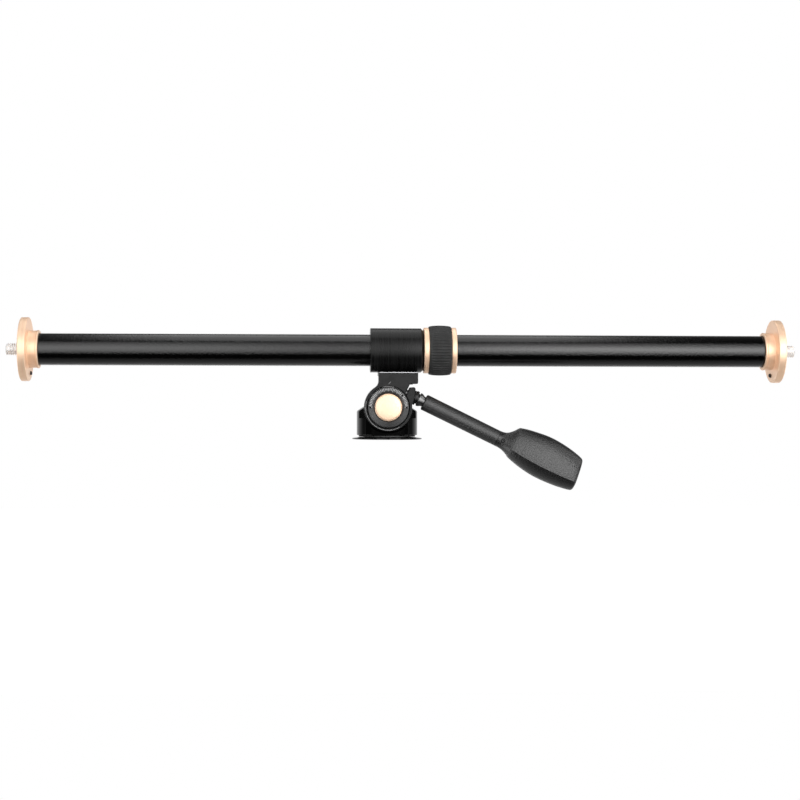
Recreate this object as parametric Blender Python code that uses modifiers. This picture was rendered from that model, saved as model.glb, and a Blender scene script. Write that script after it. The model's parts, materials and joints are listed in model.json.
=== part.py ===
"""Tripod extension arm: a sliding column held by a tilting clamp ring on a panning base.

Metres, +Z up. The origin is the centre of the face that sits on the tripod. Seen from the
front, looking along +Y, the column runs along X above the base and the handle leaves to the
right. Turned pieces are drawn as half outlines of (radius, height) and spun about their own Z.
"""
import bpy
import bmesh
from math import atan2, copysign, cos, pi, radians, sin, sqrt

MM = 0.001
GAP = 0.3 * MM
ROUND = 40
MEDIUM_ROUND = 32
BOLT_ROUND = 24
SMALL_ROUND = 16
TINY_ROUND = 12
OVERSHOOT = 2 * MM
WELD = 0.01 * MM

# Column: tube, end plates and studs
TUBE_RADIUS = 12.5 * MM
TUBE_WALL = 1.5 * MM
COLUMN_LENGTH = 600 * MM
COLUMN_SHIFT = 13.4 * MM
FLANGE_RADIUS = 25 * MM
FLANGE_THICKNESS = 6 * MM
PLATE_NECK_RADIUS = 14.6 * MM
PLATE_NECK_LENGTH = 8 * MM
PLATE_LIP = 0.4 * MM
PLATE_LIP_WIDTH = 1.6 * MM
PLATE_WEB = 3.7 * MM
PLUG_LENGTH = 20 * MM
STUD_RADIUS = 4.76 * MM
STUD_REACH = 12 * MM
STUD_SHANK = 21.7 * MM
THREAD_PITCH = 1.5875 * MM
THREAD_DEPTH = 0.75 * MM
LOCK_SCREW_RADIUS = 1.5 * MM
LOCK_SCREW_INSET = 5.6 * MM
LOCK_SCREW_PROUD = 1.3 * MM
LOCK_SCREW_COUNT = 1
LOCK_SCREW_TURN = {"left": radians(-16), "right": radians(10)}

# Sleeve, bush, collet and collar, measured along the column from the tilt axis
COLUMN_RISE = 45 * MM
COLUMN_DEPTH = -9 * MM
SLEEVE_RADIUS = 17.5 * MM
SLEEVE_LEFT = -13.8 * MM
SLEEVE_RIGHT = 28 * MM
SLEEVE_CHAMFER = 2 * MM
SLEEVE_LIP = 1.3 * MM
SPIGOT_LENGTH = 15 * MM
SPIGOT_WALL = 1 * MM
BUSH_WALL = 1.4 * MM
BUSH_LENGTH = 11.2 * MM
COLLET_START = 8 * MM
COLLET_SLOT = 1.2 * MM
COLLET_SLOT_START = 24 * MM
COLLAR_RADIUS = 18.1 * MM
COLLAR_LENGTH = 25.7 * MM
COLLAR_RIM = 3.8 * MM
COLLAR_GROOVE = 1.2 * MM
COLLAR_NOSE = 1.4 * MM
COLLET_TAPER = 1.2 * MM
COLLET_SHOULDER = 2 * MM
GRIP_CROWN_RADIUS = 19.8 * MM
GRIP_EDGE_RADIUS = 19 * MM
GRIP_MARGIN = 1.8 * MM
RIB_COUNT = 50
RIB_DEPTH = 0.45 * MM

# Foot and panning base, heights from the tripod face
FOOT_RADIUS = 27.7 * MM
FOOT_THICKNESS = 1.8 * MM
FOOT_RIM = 0.9 * MM
FOOT_SLOPE = 3.5 * MM
HUB_RADIUS = 7.4 * MM
HUB_HEIGHT = 16.5 * MM
HUB_GROOVE = 1.4 * MM
HUB_EDGE = 0.5 * MM
INSERT_RADIUS = 5.6 * MM
INSERT_BORE = 4.9 * MM
INSERT_DEPTH = 9.4 * MM
PAN_WASHER_INNER = 9 * MM
PAN_WASHER_OUTER = 22.5 * MM
PAN_WASHER_THICKNESS = 0.8 * MM
BASE_RADIUS = 24.1 * MM
BASE_EDGE = 0.4 * MM
BASE_SHOULDER = 22.4 * MM
BASE_CROWN_RADIUS = 17.2 * MM
BASE_CROWN_HEIGHT = 26.9 * MM
BASE_FRONT = 20.3 * MM
RECESS_RADIUS = 19.3 * MM
RECESS_CHAMFER = 1.2 * MM
BARREL_RADIUS = 16.5 * MM
BARREL_BACK = 12 * MM
BARREL_BACK_EDGE = 1.5 * MM
FRONT_WALL_DROP = 8.6 * MM

# Tilt axis, drum and dial; depths are distances in front of the pan axis
TILT_HEIGHT = 25.3 * MM
WALL_DEPTH = 8.5 * MM
DRUM_RADIUS = 16.2 * MM
DRUM_FRONT = 21.7 * MM
DRUM_PIN_RADIUS = 1.5 * MM
DRUM_PIN_RING = 10.5 * MM
DRUM_PIN_LENGTH = 7.4 * MM
BOLT_RADIUS = 4 * MM
BOLT_HEAD_RADIUS = 6.4 * MM
BOLT_HEAD_HEIGHT = 5 * MM
BOLT_REACH = 20.4 * MM
DIAL_RADIUS = 16 * MM
DIAL_THICKNESS = 4.2 * MM
CAP_RADIUS = 10.75 * MM
CAP_THICKNESS = 2.2 * MM
CAP_POCKET = 1.6 * MM
DIAL_SCREW_RADIUS = 1.2 * MM
DIAL_SCREW_RING = 9.4 * MM
DIAL_SCREW_COUNT = 3
DIAL_SCREW_LENGTH = 6 * MM

# Yoke: clamp ring, ear, neck and saddle
YOKE_FRONT = 25 * MM
RING_RADIUS = 18.7 * MM
RING_CLEARANCE = 0.4 * MM
YOKE_EDGE = 0.6 * MM
NECK_LEFT = -7.4 * MM
NECK_RIGHT = 23.3 * MM
NECK_FILLET = 6 * MM
NECK_TOP = 27.8 * MM
NECK_SHOULDER = 18.5 * MM
SHELF_THICKNESS = 2.7 * MM
SHELF_INSET = 0.2 * MM
GUSSET_LEFT = 3 * MM
GUSSET_RIGHT = 20 * MM
GUSSET_BACK = 5 * MM
SLOT_START = 7.2 * MM
SLOT_WIDTH = 1.3 * MM
SLOT_TOP = 24 * MM
EAR_FOOT = 5.8
EAR_SHAPE = [(15.9, 11.8), (13, 21.9), (12.3, 22.9), (11.1, 23.1), (8.5, 21.6)]
EAR_BOSS_RADIUS = 5.2 * MM
EAR_BOSS_START = 10.5 * MM
EAR_BOSS_END = 14.9 * MM
SLEEVE_SCREW_PLACES = [5 * MM, 17 * MM]
SLEEVE_SCREW_RADIUS = 1.5 * MM
SLEEVE_SCREW_HEAD = 2.8 * MM
SLEEVE_SCREW_HEAD_HEIGHT = 1.4 * MM
SLEEVE_SCREW_LENGTH = 10 * MM

# Clamp screw and handle, measured along the handle from the point nearest the tilt axis
HANDLE_SLOPE = radians(26.1)
HANDLE_OFFSET = 16.3 * MM
CLAMP_SCREW_RADIUS = 2.8 * MM
CLAMP_SCREW_TIP = -2.5 * MM
CLAMP_SCREW_END = 36 * MM
WASHER_RADIUS = 5.7 * MM
WASHER_THICKNESS = 2.2 * MM
WASHER_HUB_RADIUS = 4.3 * MM
TAPER_START = 18.6 * MM
TAPER_LENGTH = 3.9 * MM
TAPER_WIDE = 5.4 * MM
TAPER_NARROW = 4.1 * MM
ROD_START = 23.5 * MM
ROD_LENGTH = 64.5 * MM
ROD_RADIUS = 6.45 * MM
ROD_END_RADIUS = 6.25 * MM
TENON_RADIUS = 4 * MM
TENON_LENGTH = 30 * MM
GRIP_SCREW_PLACE = 4.5 * MM
GRIP_SCREW_RADIUS = 1.3 * MM
GRIP_SCREW_BITE = 2 * MM
# Grip sections: distance from the rod's end, half heights above and below the axis, half width
GRIP_SECTIONS = [
    (0.3, 6.3, 6.3, 6.4), (3.5, 6.7, 6.3, 6.6), (6.5, 8.1, 6.7, 7.5), (9.5, 10.9, 7.7, 9.0),
    (12.0, 14.3, 8.8, 10.2), (13.4, 15.4, 9.6, 10.8), (19, 16.9, 11.5, 11.8), (27, 18.2, 13.2, 12.4),
    (36.5, 19.3, 14.4, 12.7), (46, 19.2, 14.5, 12.6), (56, 18.1, 13.8, 12.1), (64, 16.6, 12.6, 11.4),
    (67.8, 15.6, 11.8, 10.8), (69.9, 14.2, 10.4, 9.4)]
# The grip's end leans by this slope, which fades along the grip
GRIP_END_LEAN = 0.11
GRIP_POINTS = 28
GRIP_SQUARENESS = 0.8

# Pan lock at the back of the base
PAN_LOCK_HEIGHT = 13.3 * MM
PAN_SCREW_RADIUS = 1.8 * MM
PAN_KNOB_RADIUS = 7.5 * MM
PAN_KNOB_LENGTH = 12.5 * MM
PAN_KNOB_LOBES = 10
PAN_KNOB_EDGE = 1.2 * MM
PAN_KNOB_BORE_DEPTH = 8 * MM

# Sizes that follow from the ones above
YOKE_BACK = WALL_DEPTH + GAP
RING_BORE = DRUM_RADIUS + RING_CLEARANCE
HANDLE_DEPTH = (YOKE_FRONT + YOKE_BACK) / 2
BORE_RADIUS = TUBE_RADIUS + GAP + BUSH_WALL + GAP
SPIGOT_RADIUS = BORE_RADIUS + SPIGOT_WALL
SPIGOT_END = SLEEVE_RIGHT + SPIGOT_LENGTH
COLLAR_LEFT = SLEEVE_RIGHT + GAP
COLLAR_RIGHT = COLLAR_LEFT + COLLAR_LENGTH
BASE_BOTTOM = FOOT_THICKNESS + PAN_WASHER_THICKNESS + 2 * GAP
RIGHT_FACE = COLUMN_SHIFT + COLUMN_LENGTH / 2
LEFT_FACE = COLUMN_SHIFT - COLUMN_LENGTH / 2
TUBE_END_INSET = PLATE_WEB + GAP
INNER_RADIUS = TUBE_RADIUS - TUBE_WALL
HUB_GROOVE_LOW = PAN_LOCK_HEIGHT - PAN_SCREW_RADIUS - GAP
HUB_GROOVE_HIGH = PAN_LOCK_HEIGHT + PAN_SCREW_RADIUS + GAP

FACING_FRONT = (radians(90), 0, 0)
FACING_BACK = (radians(-90), 0, 0)
FACING_RIGHT = (0, radians(90), 0)
TURNED_OVER = (radians(180), 0, 0)


def clear_scene():
    for item in list(bpy.data.objects):
        bpy.data.objects.remove(item, do_unlink=True)


def make_collection(name):
    group = bpy.data.collections.new(name)
    bpy.context.scene.collection.children.link(group)
    return group


def make_material(name, colour, roughness, metallic):
    material = bpy.data.materials.new(name)
    material.use_nodes = True
    shader = material.node_tree.nodes["Principled BSDF"]
    shader.inputs["Base Color"].default_value = (*colour, 1)
    shader.inputs["Roughness"].default_value = roughness
    shader.inputs["Metallic"].default_value = metallic
    return material


def make_axis(name, location, rotation=(0, 0, 0), parent=None):
    axis = bpy.data.objects.new(name, None)
    axis.empty_display_size = 0.02
    axis.location = location
    axis.rotation_euler = rotation
    axis.parent = parent
    PARTS.objects.link(axis)
    return axis


def place(item, parent, location, rotation, material):
    item.parent = parent
    item.location = location
    item.rotation_euler = rotation
    if material is None:
        item.hide_render = True
        item.display_type = "WIRE"
        CUTTERS.objects.link(item)
    else:
        item.data.materials.append(material)
        PARTS.objects.link(item)
    return item


def turned(name, outline, parent, material=None, location=(0, 0, 0), rotation=(0, 0, 0), steps=ROUND):
    """Spin a half outline about Z; one that starts off the axis is closed into a ring."""
    mesh = bpy.data.meshes.new(name)
    count = len(outline)
    edges = [(index, index + 1) for index in range(count - 1)]
    if outline[0][0] > 0:
        edges.append((count - 1, 0))
    mesh.from_pydata([(radius, 0, height) for radius, height in outline], edges, [])
    item = place(bpy.data.objects.new(name, mesh), parent, location, rotation, material)
    screw = item.modifiers.new("Turn", "SCREW")
    screw.steps = steps
    screw.render_steps = steps
    screw.use_merge_vertices = True
    screw.merge_threshold = WELD
    screw.use_smooth_shade = True
    return item


def ring_outline(inner, outer, low, high):
    return [(outer, high), (outer, low), (inner, low), (inner, high)]


def disc_outline(radius, low, high):
    return [(0, high), (radius, high), (radius, low), (0, low)]


def rods(name, places, radius, low, high, parent, material=None, steps=SMALL_ROUND):
    """One round rod along Z at each (x, y) place."""
    shape = bmesh.new()
    for x, y in places:
        made = bmesh.ops.create_cone(
            shape, cap_ends=True, segments=steps, radius1=radius, radius2=radius, depth=high - low)
        bmesh.ops.translate(shape, verts=made["verts"], vec=(x, y, (low + high) / 2))
    return from_bmesh(name, shape, parent, material)


def each_rod(name, places, radius, low, high, parent, material, steps=SMALL_ROUND):
    """A separate round rod at each place, numbered from 1."""
    return [rods("%s_%d" % (name, number), [spot], radius, low, high, parent, material, steps=steps)
            for number, spot in enumerate(places, 1)]


def box(name, low, high, parent, material=None):
    shape = bmesh.new()
    bmesh.ops.create_cube(shape, size=1)
    for vertex in shape.verts:
        for axis in range(3):
            vertex.co[axis] = high[axis] if vertex.co[axis] > 0 else low[axis]
    return from_bmesh(name, shape, parent, material)


def from_bmesh(name, shape, parent, material, location=(0, 0, 0), rotation=(0, 0, 0)):
    bmesh.ops.recalc_face_normals(shape, faces=shape.faces)
    mesh = bpy.data.meshes.new(name)
    shape.to_mesh(mesh)
    shape.free()
    mesh.shade_smooth()
    mesh.set_sharp_from_angle(angle=radians(35))
    return place(bpy.data.objects.new(name, mesh), parent, location, rotation, material)


def plate(name, outline, thickness, parent, material, location=(0, 0, 0), rotation=(0, 0, 0)):
    """A flat outline extruded to both sides of its plane."""
    curve = bpy.data.curves.new(name, "CURVE")
    curve.dimensions = "2D"
    curve.fill_mode = "BOTH"
    curve.extrude = thickness / 2
    spline = curve.splines.new("POLY")
    spline.points.add(len(outline) - 1)
    for point, (x, y) in zip(spline.points, outline):
        point.co = (x, y, 0, 1)
    spline.use_cyclic_u = True
    source = bpy.data.objects.new(name + "_outline", curve)
    CUTTERS.objects.link(source)
    bpy.context.view_layer.update()
    evaluated = source.evaluated_get(bpy.context.evaluated_depsgraph_get())
    mesh = bpy.data.meshes.new_from_object(evaluated)
    shape = bmesh.new()
    shape.from_mesh(mesh)
    bmesh.ops.remove_doubles(shape, verts=shape.verts, dist=WELD)
    bpy.data.objects.remove(source, do_unlink=True)
    bpy.data.meshes.remove(mesh)
    return from_bmesh(name, shape, parent, material, location, rotation)


def loft(name, rings, parent, material, loop=False):
    """Skin rings of equal point counts; open ends are capped, a loop joins last to first."""
    shape = bmesh.new()
    rows = [[shape.verts.new(point) for point in ring] for ring in rings]
    count = len(rows[0])
    pairs = list(zip(rows, rows[1:]))
    if loop:
        pairs.append((rows[-1], rows[0]))
    for first, second in pairs:
        for index in range(count):
            after = (index + 1) % count
            shape.faces.new((first[index], first[after], second[after], second[index]))
    if not loop:
        shape.faces.new(rows[0])
        shape.faces.new(rows[-1])
    return from_bmesh(name, shape, parent, material)


def circle(radius, height, count):
    turns = [2 * pi * k / count for k in range(count)]
    return [(radius * cos(turn), radius * sin(turn), height) for turn in turns]


def spots(radius, count, start=0.0):
    """Places on a circle, the first at the start angle."""
    return [(radius * cos(start + 2 * pi * k / count), radius * sin(start + 2 * pi * k / count))
            for k in range(count)]


def combine(item, other, operation):
    """Cut or join, then weld the corners that the cut leaves on top of each other."""
    boolean = item.modifiers.new(operation.title(), "BOOLEAN")
    boolean.operation = operation
    boolean.object = other
    weld = item.modifiers.new("Weld", "WELD")
    weld.merge_threshold = WELD


def cut(item, cutter):
    combine(item, cutter, "DIFFERENCE")


def join(item, addition):
    combine(item, addition, "UNION")


def soften(item, width, segments=1):
    bevel = item.modifiers.new("Edge", "BEVEL")
    bevel.width = width
    bevel.segments = segments
    bevel.limit_method = "ANGLE"
    bevel.angle_limit = radians(50)


def clamp_point(along, across):
    """A point in the yoke's plane, from its distances along and across the clamp screw."""
    x = along * cos(HANDLE_SLOPE) + across * sin(HANDLE_SLOPE)
    z = across * cos(HANDLE_SLOPE) - along * sin(HANDLE_SLOPE)
    return x, z


def arc(centre, radius, start, end, count):
    return [(centre[0] + radius * cos(start + (end - start) * k / count),
             centre[1] + radius * sin(start + (end - start) * k / count)) for k in range(count + 1)]


def make_foot(pan_axis):
    groove = HUB_RADIUS - HUB_GROOVE
    bore = INSERT_RADIUS + GAP
    outline = [
        (0, HUB_HEIGHT), (HUB_RADIUS - HUB_EDGE, HUB_HEIGHT), (HUB_RADIUS, HUB_HEIGHT - HUB_EDGE),
        (HUB_RADIUS, HUB_GROOVE_HIGH), (groove, HUB_GROOVE_HIGH), (groove, HUB_GROOVE_LOW),
        (HUB_RADIUS, HUB_GROOVE_LOW), (HUB_RADIUS, FOOT_THICKNESS),
        (FOOT_RADIUS - FOOT_SLOPE, FOOT_THICKNESS), (FOOT_RADIUS, FOOT_RIM), (FOOT_RADIUS, 0),
        (bore, 0), (bore, INSERT_DEPTH + GAP), (0, INSERT_DEPTH + GAP)]
    turned("foot_plate", outline, pan_axis, GLOSS_BLACK)
    insert = ring_outline(INSERT_BORE, INSERT_RADIUS, 0, INSERT_DEPTH)
    turned("thread_insert", insert, pan_axis, STEEL, steps=BOLT_ROUND)
    low = FOOT_THICKNESS + GAP
    washer = ring_outline(PAN_WASHER_INNER, PAN_WASHER_OUTER, low, low + PAN_WASHER_THICKNESS)
    turned("pan_washer", washer, pan_axis, NYLON, steps=MEDIUM_ROUND)


def make_base_body(pan_axis, tilt_frame):
    outline = [
        (0, BASE_CROWN_HEIGHT), (BASE_CROWN_RADIUS, BASE_CROWN_HEIGHT), (BASE_RADIUS, BASE_SHOULDER),
        (BASE_RADIUS, BASE_BOTTOM + BASE_EDGE), (BASE_RADIUS - BASE_EDGE, BASE_BOTTOM), (0, BASE_BOTTOM)]
    body = turned("base_body", outline, pan_axis, GLOSS_BLACK)
    barrel_front = WALL_DEPTH + OVERSHOOT
    barrel_outline = [
        (0, barrel_front), (BARREL_RADIUS, barrel_front),
        (BARREL_RADIUS, BARREL_BACK_EDGE - BARREL_BACK),
        (BARREL_RADIUS - BARREL_BACK_EDGE, -BARREL_BACK), (0, -BARREL_BACK)]
    join(body, turned("barrel_shape", barrel_outline, tilt_frame))
    cut(body, rods("hub_bore", [(0, 0)], HUB_RADIUS + GAP, 0, HUB_HEIGHT + GAP, pan_axis, steps=ROUND))
    clear = 2 * BASE_RADIUS
    mouth = RECESS_RADIUS + RECESS_CHAMFER
    recess_outline = [
        (0, clear), (mouth, clear), (mouth, BASE_FRONT),
        (RECESS_RADIUS, BASE_FRONT - RECESS_CHAMFER), (RECESS_RADIUS, WALL_DEPTH), (0, WALL_DEPTH)]
    cut(body, turned("recess_shape", recess_outline, tilt_frame))
    wall_top = TILT_HEIGHT - FRONT_WALL_DROP
    cut(body, box("side_walls", (-clear, -clear, wall_top), (clear, -WALL_DEPTH, clear), pan_axis))
    cut(body, box("front_flat", (-clear, -clear, -clear), (clear, -BASE_FRONT, clear), pan_axis))
    bolt_end = DRUM_FRONT - BOLT_HEAD_HEIGHT - BOLT_REACH - GAP
    cut(body, turned("bolt_hole", disc_outline(BOLT_RADIUS + GAP, bolt_end - GAP, clear), tilt_frame))
    pin_end = WALL_DEPTH + GAP - DRUM_PIN_LENGTH / 2
    cut(body, rods("pin_holes", spots(DRUM_PIN_RING, 2), DRUM_PIN_RADIUS + GAP, pin_end - GAP, clear,
                   tilt_frame))
    return body


def make_drum(tilt_frame):
    back = WALL_DEPTH + GAP
    seat = DRUM_FRONT - BOLT_HEAD_HEIGHT - GAP
    groove_low = HANDLE_DEPTH - CLAMP_SCREW_RADIUS - 2 * GAP
    groove_high = HANDLE_DEPTH + CLAMP_SCREW_RADIUS + 2 * GAP
    groove = HANDLE_OFFSET - CLAMP_SCREW_RADIUS - 1.5 * GAP
    outline = [
        (DRUM_RADIUS, DRUM_FRONT), (DRUM_RADIUS, groove_high), (groove, groove_high),
        (groove, groove_low), (DRUM_RADIUS, groove_low), (DRUM_RADIUS, back),
        (BOLT_RADIUS + GAP, back), (BOLT_RADIUS + GAP, seat), (BOLT_HEAD_RADIUS + GAP, seat),
        (BOLT_HEAD_RADIUS + GAP, DRUM_FRONT)]
    drum = turned("tilt_drum", outline, tilt_frame, ALUMINIUM)
    pin_low = back - DRUM_PIN_LENGTH / 2
    pin_high = back + DRUM_PIN_LENGTH / 2
    pins = spots(DRUM_PIN_RING, 2)
    cut(drum, rods("drum_pin_holes", pins, DRUM_PIN_RADIUS + GAP, 0, pin_high + GAP, tilt_frame))
    each_rod("drum_pin", pins, DRUM_PIN_RADIUS, pin_low, pin_high, tilt_frame, STEEL)
    bolt_outline = [
        (0, seat + BOLT_HEAD_HEIGHT), (BOLT_HEAD_RADIUS, seat + BOLT_HEAD_HEIGHT),
        (BOLT_HEAD_RADIUS, seat + GAP), (BOLT_RADIUS, seat + GAP),
        (BOLT_RADIUS, seat - BOLT_REACH), (0, seat - BOLT_REACH)]
    turned("drum_bolt", bolt_outline, tilt_frame, STEEL, steps=BOLT_ROUND)
    dial_back = DRUM_FRONT + GAP
    dial_front = dial_back + DIAL_THICKNESS
    pocket = dial_front - CAP_POCKET
    edge = 0.6 * MM
    dial_outline = [
        (0, pocket), (CAP_RADIUS + GAP, pocket), (CAP_RADIUS + GAP, dial_front),
        (DIAL_RADIUS - edge, dial_front), (DIAL_RADIUS, dial_front - edge), (DIAL_RADIUS, dial_back),
        (0, dial_back)]
    dial = turned("dial_plate", dial_outline, tilt_frame, CAST_GREY)
    screws = spots(DIAL_SCREW_RING, DIAL_SCREW_COUNT, radians(30))
    screw_low = pocket - DIAL_SCREW_LENGTH
    hole_radius = DIAL_SCREW_RADIUS + GAP
    holes = rods("dial_screw_holes", screws, hole_radius, screw_low - GAP, pocket + GAP, tilt_frame)
    cut(dial, holes)
    cut(drum, holes)
    each_rod("dial_screw", screws, DIAL_SCREW_RADIUS, screw_low, pocket, tilt_frame, STEEL)
    cap_low = pocket + GAP
    cap_high = cap_low + CAP_THICKNESS
    cap_outline = [
        (0, cap_high), (0.6 * CAP_RADIUS, cap_high - 0.12 * MM), (0.93 * CAP_RADIUS, cap_high - 0.45 * MM),
        (CAP_RADIUS, cap_high - 1 * MM), (CAP_RADIUS, cap_low), (0, cap_low)]
    turned("dial_cap", cap_outline, tilt_frame, GOLD)


def make_pan_lock(body, lock_axis):
    knob_low = GAP
    knob_high = knob_low + PAN_KNOB_LENGTH
    hole_depth = BASE_RADIUS - HUB_RADIUS + HUB_GROOVE
    cut(body, rods("pan_screw_hole", [(0, 0)], PAN_SCREW_RADIUS + GAP, 2 * GAP - hole_depth, OVERSHOOT,
                   lock_axis))
    heights = [(0.8, knob_low), (1, knob_low + PAN_KNOB_EDGE), (1, knob_high - PAN_KNOB_EDGE),
               (0.8, knob_high)]
    count = PAN_KNOB_LOBES * 4
    rings = []
    for share, height in heights:
        ring = []
        for k in range(count):
            angle = 2 * pi * k / count
            radius = PAN_KNOB_RADIUS * share * (0.94 + 0.06 * cos(PAN_KNOB_LOBES * angle))
            ring.append((radius * cos(angle), radius * sin(angle), height))
        rings.append(ring)
    knob = loft("pan_lock_knob", rings, lock_axis, GLOSS_BLACK)
    bore_end = knob_low + PAN_KNOB_BORE_DEPTH
    bore = rods("pan_knob_bore", [(0, 0)], PAN_SCREW_RADIUS + GAP, -OVERSHOOT, bore_end, lock_axis)
    cut(knob, bore)
    tip = GAP - hole_depth + 2 * GAP
    rods("pan_lock_screw", [(0, 0)], PAN_SCREW_RADIUS, tip, bore_end - GAP, lock_axis, STEEL)


def yoke_outline():
    """The yoke seen from the front: neck, ring and ear around the split bore, as one closed line."""
    fillet_x = NECK_LEFT - NECK_FILLET
    fillet_z = sqrt((RING_RADIUS + NECK_FILLET) ** 2 - fillet_x ** 2)
    fillet_end = atan2(-fillet_z, -fillet_x)
    ring_start = atan2(fillet_z, fillet_x)
    ring_end = 2 * pi + radians(EAR_FOOT)
    points = [(NECK_LEFT, NECK_TOP)]
    points += arc((fillet_x, fillet_z), NECK_FILLET, 0, fillet_end, 6)
    points += arc((0, 0), RING_RADIUS, ring_start, ring_end, 30)[1:]
    points += [clamp_point(along * MM, across * MM) for along, across in EAR_SHAPE[:-1]]
    ear_across = EAR_SHAPE[-1][1] * MM
    slot_end = SLOT_START + SLOT_WIDTH
    points.append(clamp_point(slot_end, ear_across))
    lip = clamp_point(slot_end, sqrt(RING_BORE ** 2 - slot_end ** 2))
    other_lip = clamp_point(SLOT_START, sqrt(RING_BORE ** 2 - SLOT_START ** 2))
    bore_start = atan2(lip[1], lip[0])
    bore_end = atan2(other_lip[1], other_lip[0]) - 2 * pi
    points += arc((0, 0), RING_BORE, bore_start, bore_end, 42)
    points.append(clamp_point(SLOT_START, SLOT_TOP))
    slope = 0.4 * MM
    points += [(NECK_RIGHT - slope, NECK_SHOULDER), (NECK_RIGHT, NECK_SHOULDER + 3 * slope)]
    points.append((NECK_RIGHT, NECK_TOP))
    return points


def make_yoke(tilt_axis, clamp_axis, column_axis):
    thickness = YOKE_FRONT - YOKE_BACK
    yoke = plate("yoke", yoke_outline(), thickness, tilt_axis, CAST_GREY,
                 (0, -HANDLE_DEPTH, 0), FACING_FRONT)
    soften(yoke, YOKE_EDGE)
    overlap = 2 * YOKE_EDGE
    shelf_front = -YOKE_BACK - overlap
    shelf_back = 2 * COLUMN_DEPTH + YOKE_FRONT
    shelf_top = NECK_TOP - SHELF_INSET
    shelf_low = shelf_top - SHELF_THICKNESS
    shelf = box("shelf_shape", (NECK_LEFT + SHELF_INSET, shelf_front, shelf_low),
                (NECK_RIGHT - SHELF_INSET, shelf_back, shelf_top), tilt_axis)
    join(yoke, shelf)
    gusset_low = RING_RADIUS - YOKE_EDGE
    gusset = box("gusset_shape", (GUSSET_LEFT, shelf_front + GAP, gusset_low),
                 (GUSSET_RIGHT, GUSSET_BACK, shelf_top - 2 * SHELF_INSET), tilt_axis)
    join(yoke, gusset)
    seat_end = EAR_BOSS_END + 2 * WASHER_RADIUS
    join(yoke, rods("boss_shape", [(0, 0)], EAR_BOSS_RADIUS, EAR_BOSS_START, EAR_BOSS_END + GAP, clamp_axis,
                    steps=MEDIUM_ROUND))
    cut(yoke, rods("washer_seat", [(0, 0)], WASHER_RADIUS + GAP, EAR_BOSS_END, seat_end, clamp_axis,
                   steps=MEDIUM_ROUND))
    saddle = rods("saddle_shape", [(0, 0)], SLEEVE_RADIUS + GAP, 2 * SLEEVE_LEFT, 2 * SLEEVE_RIGHT,
                  column_axis, steps=ROUND)
    cut(yoke, saddle)
    cut(yoke, rods("clamp_hole", [(0, 0)], CLAMP_SCREW_RADIUS + GAP, CLAMP_SCREW_TIP - GAP, seat_end,
                   clamp_axis))
    places = [(x, COLUMN_DEPTH) for x in SLEEVE_SCREW_PLACES]
    head_top = COLUMN_RISE - BORE_RADIUS - GAP / 2
    head_low = head_top - SLEEVE_SCREW_HEAD_HEIGHT
    tip = head_low - SLEEVE_SCREW_LENGTH
    shank_holes = rods("sleeve_screw_holes", places, SLEEVE_SCREW_RADIUS + GAP, tip - GAP, COLUMN_RISE,
                       tilt_axis)
    cut(yoke, shank_holes)
    return places, shank_holes, (tip, head_low, head_top)


def make_sleeve(tilt_axis, column_axis, places, shank_holes, screw_heights):
    edge = 0.3 * MM
    lip_bore = TUBE_RADIUS + 1.3 * GAP
    outline = [
        (SPIGOT_RADIUS - edge, SPIGOT_END), (SPIGOT_RADIUS, SPIGOT_END - edge),
        (SPIGOT_RADIUS, SLEEVE_RIGHT), (SLEEVE_RADIUS, SLEEVE_RIGHT - SLEEVE_CHAMFER),
        (SLEEVE_RADIUS, SLEEVE_LEFT + edge), (SLEEVE_RADIUS - edge, SLEEVE_LEFT),
        (lip_bore, SLEEVE_LEFT), (lip_bore, SLEEVE_LEFT + SLEEVE_LIP),
        (BORE_RADIUS, SLEEVE_LEFT + SLEEVE_LIP), (BORE_RADIUS, SPIGOT_END)]
    sleeve = turned("sleeve", outline, column_axis, SATIN_BLACK)
    tip, head_low, head_top = screw_heights
    cut(sleeve, shank_holes)
    cut(sleeve, rods("sleeve_screw_pockets", places, SLEEVE_SCREW_HEAD + GAP, head_low - GAP,
                     COLUMN_RISE, tilt_axis))
    screw_outline = [
        (0, head_top), (SLEEVE_SCREW_HEAD, head_top), (SLEEVE_SCREW_HEAD, head_low),
        (SLEEVE_SCREW_RADIUS, head_low), (SLEEVE_SCREW_RADIUS, tip), (0, tip)]
    for number, (x, y) in enumerate(places, 1):
        turned("sleeve_screw_%d" % number, screw_outline, tilt_axis, STEEL, (x, y, 0),
               steps=SMALL_ROUND)


def make_guides(column_axis):
    inner = TUBE_RADIUS + GAP
    outer = inner + BUSH_WALL
    start = SLEEVE_LEFT + SLEEVE_LIP + GAP
    turned("tube_bush", ring_outline(inner, outer, start, start + BUSH_LENGTH), column_axis, NYLON,
           steps=MEDIUM_ROUND)
    nose = COLLAR_RIGHT - COLLAR_NOSE - 2 * GAP
    cone_low = SPIGOT_END + 2 * GAP
    tip_radius = outer - COLLET_TAPER + GAP
    outline = [
        (tip_radius, nose), (outer, cone_low + COLLET_SHOULDER), (outer, COLLET_START),
        (inner, COLLET_START), (inner, nose)]
    collet = turned("split_collet", outline, column_axis, NYLON, steps=MEDIUM_ROUND)
    half = COLLET_SLOT / 2
    reach = 2 * SLEEVE_RADIUS
    end = nose + OVERSHOOT
    start = COLLET_SLOT_START
    cut(collet, box("collet_slot_upright", (-reach, -half, start), (reach, half, end), column_axis))
    cut(collet, box("collet_slot_level", (-half, -reach, start), (half, reach, end), column_axis))


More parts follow.
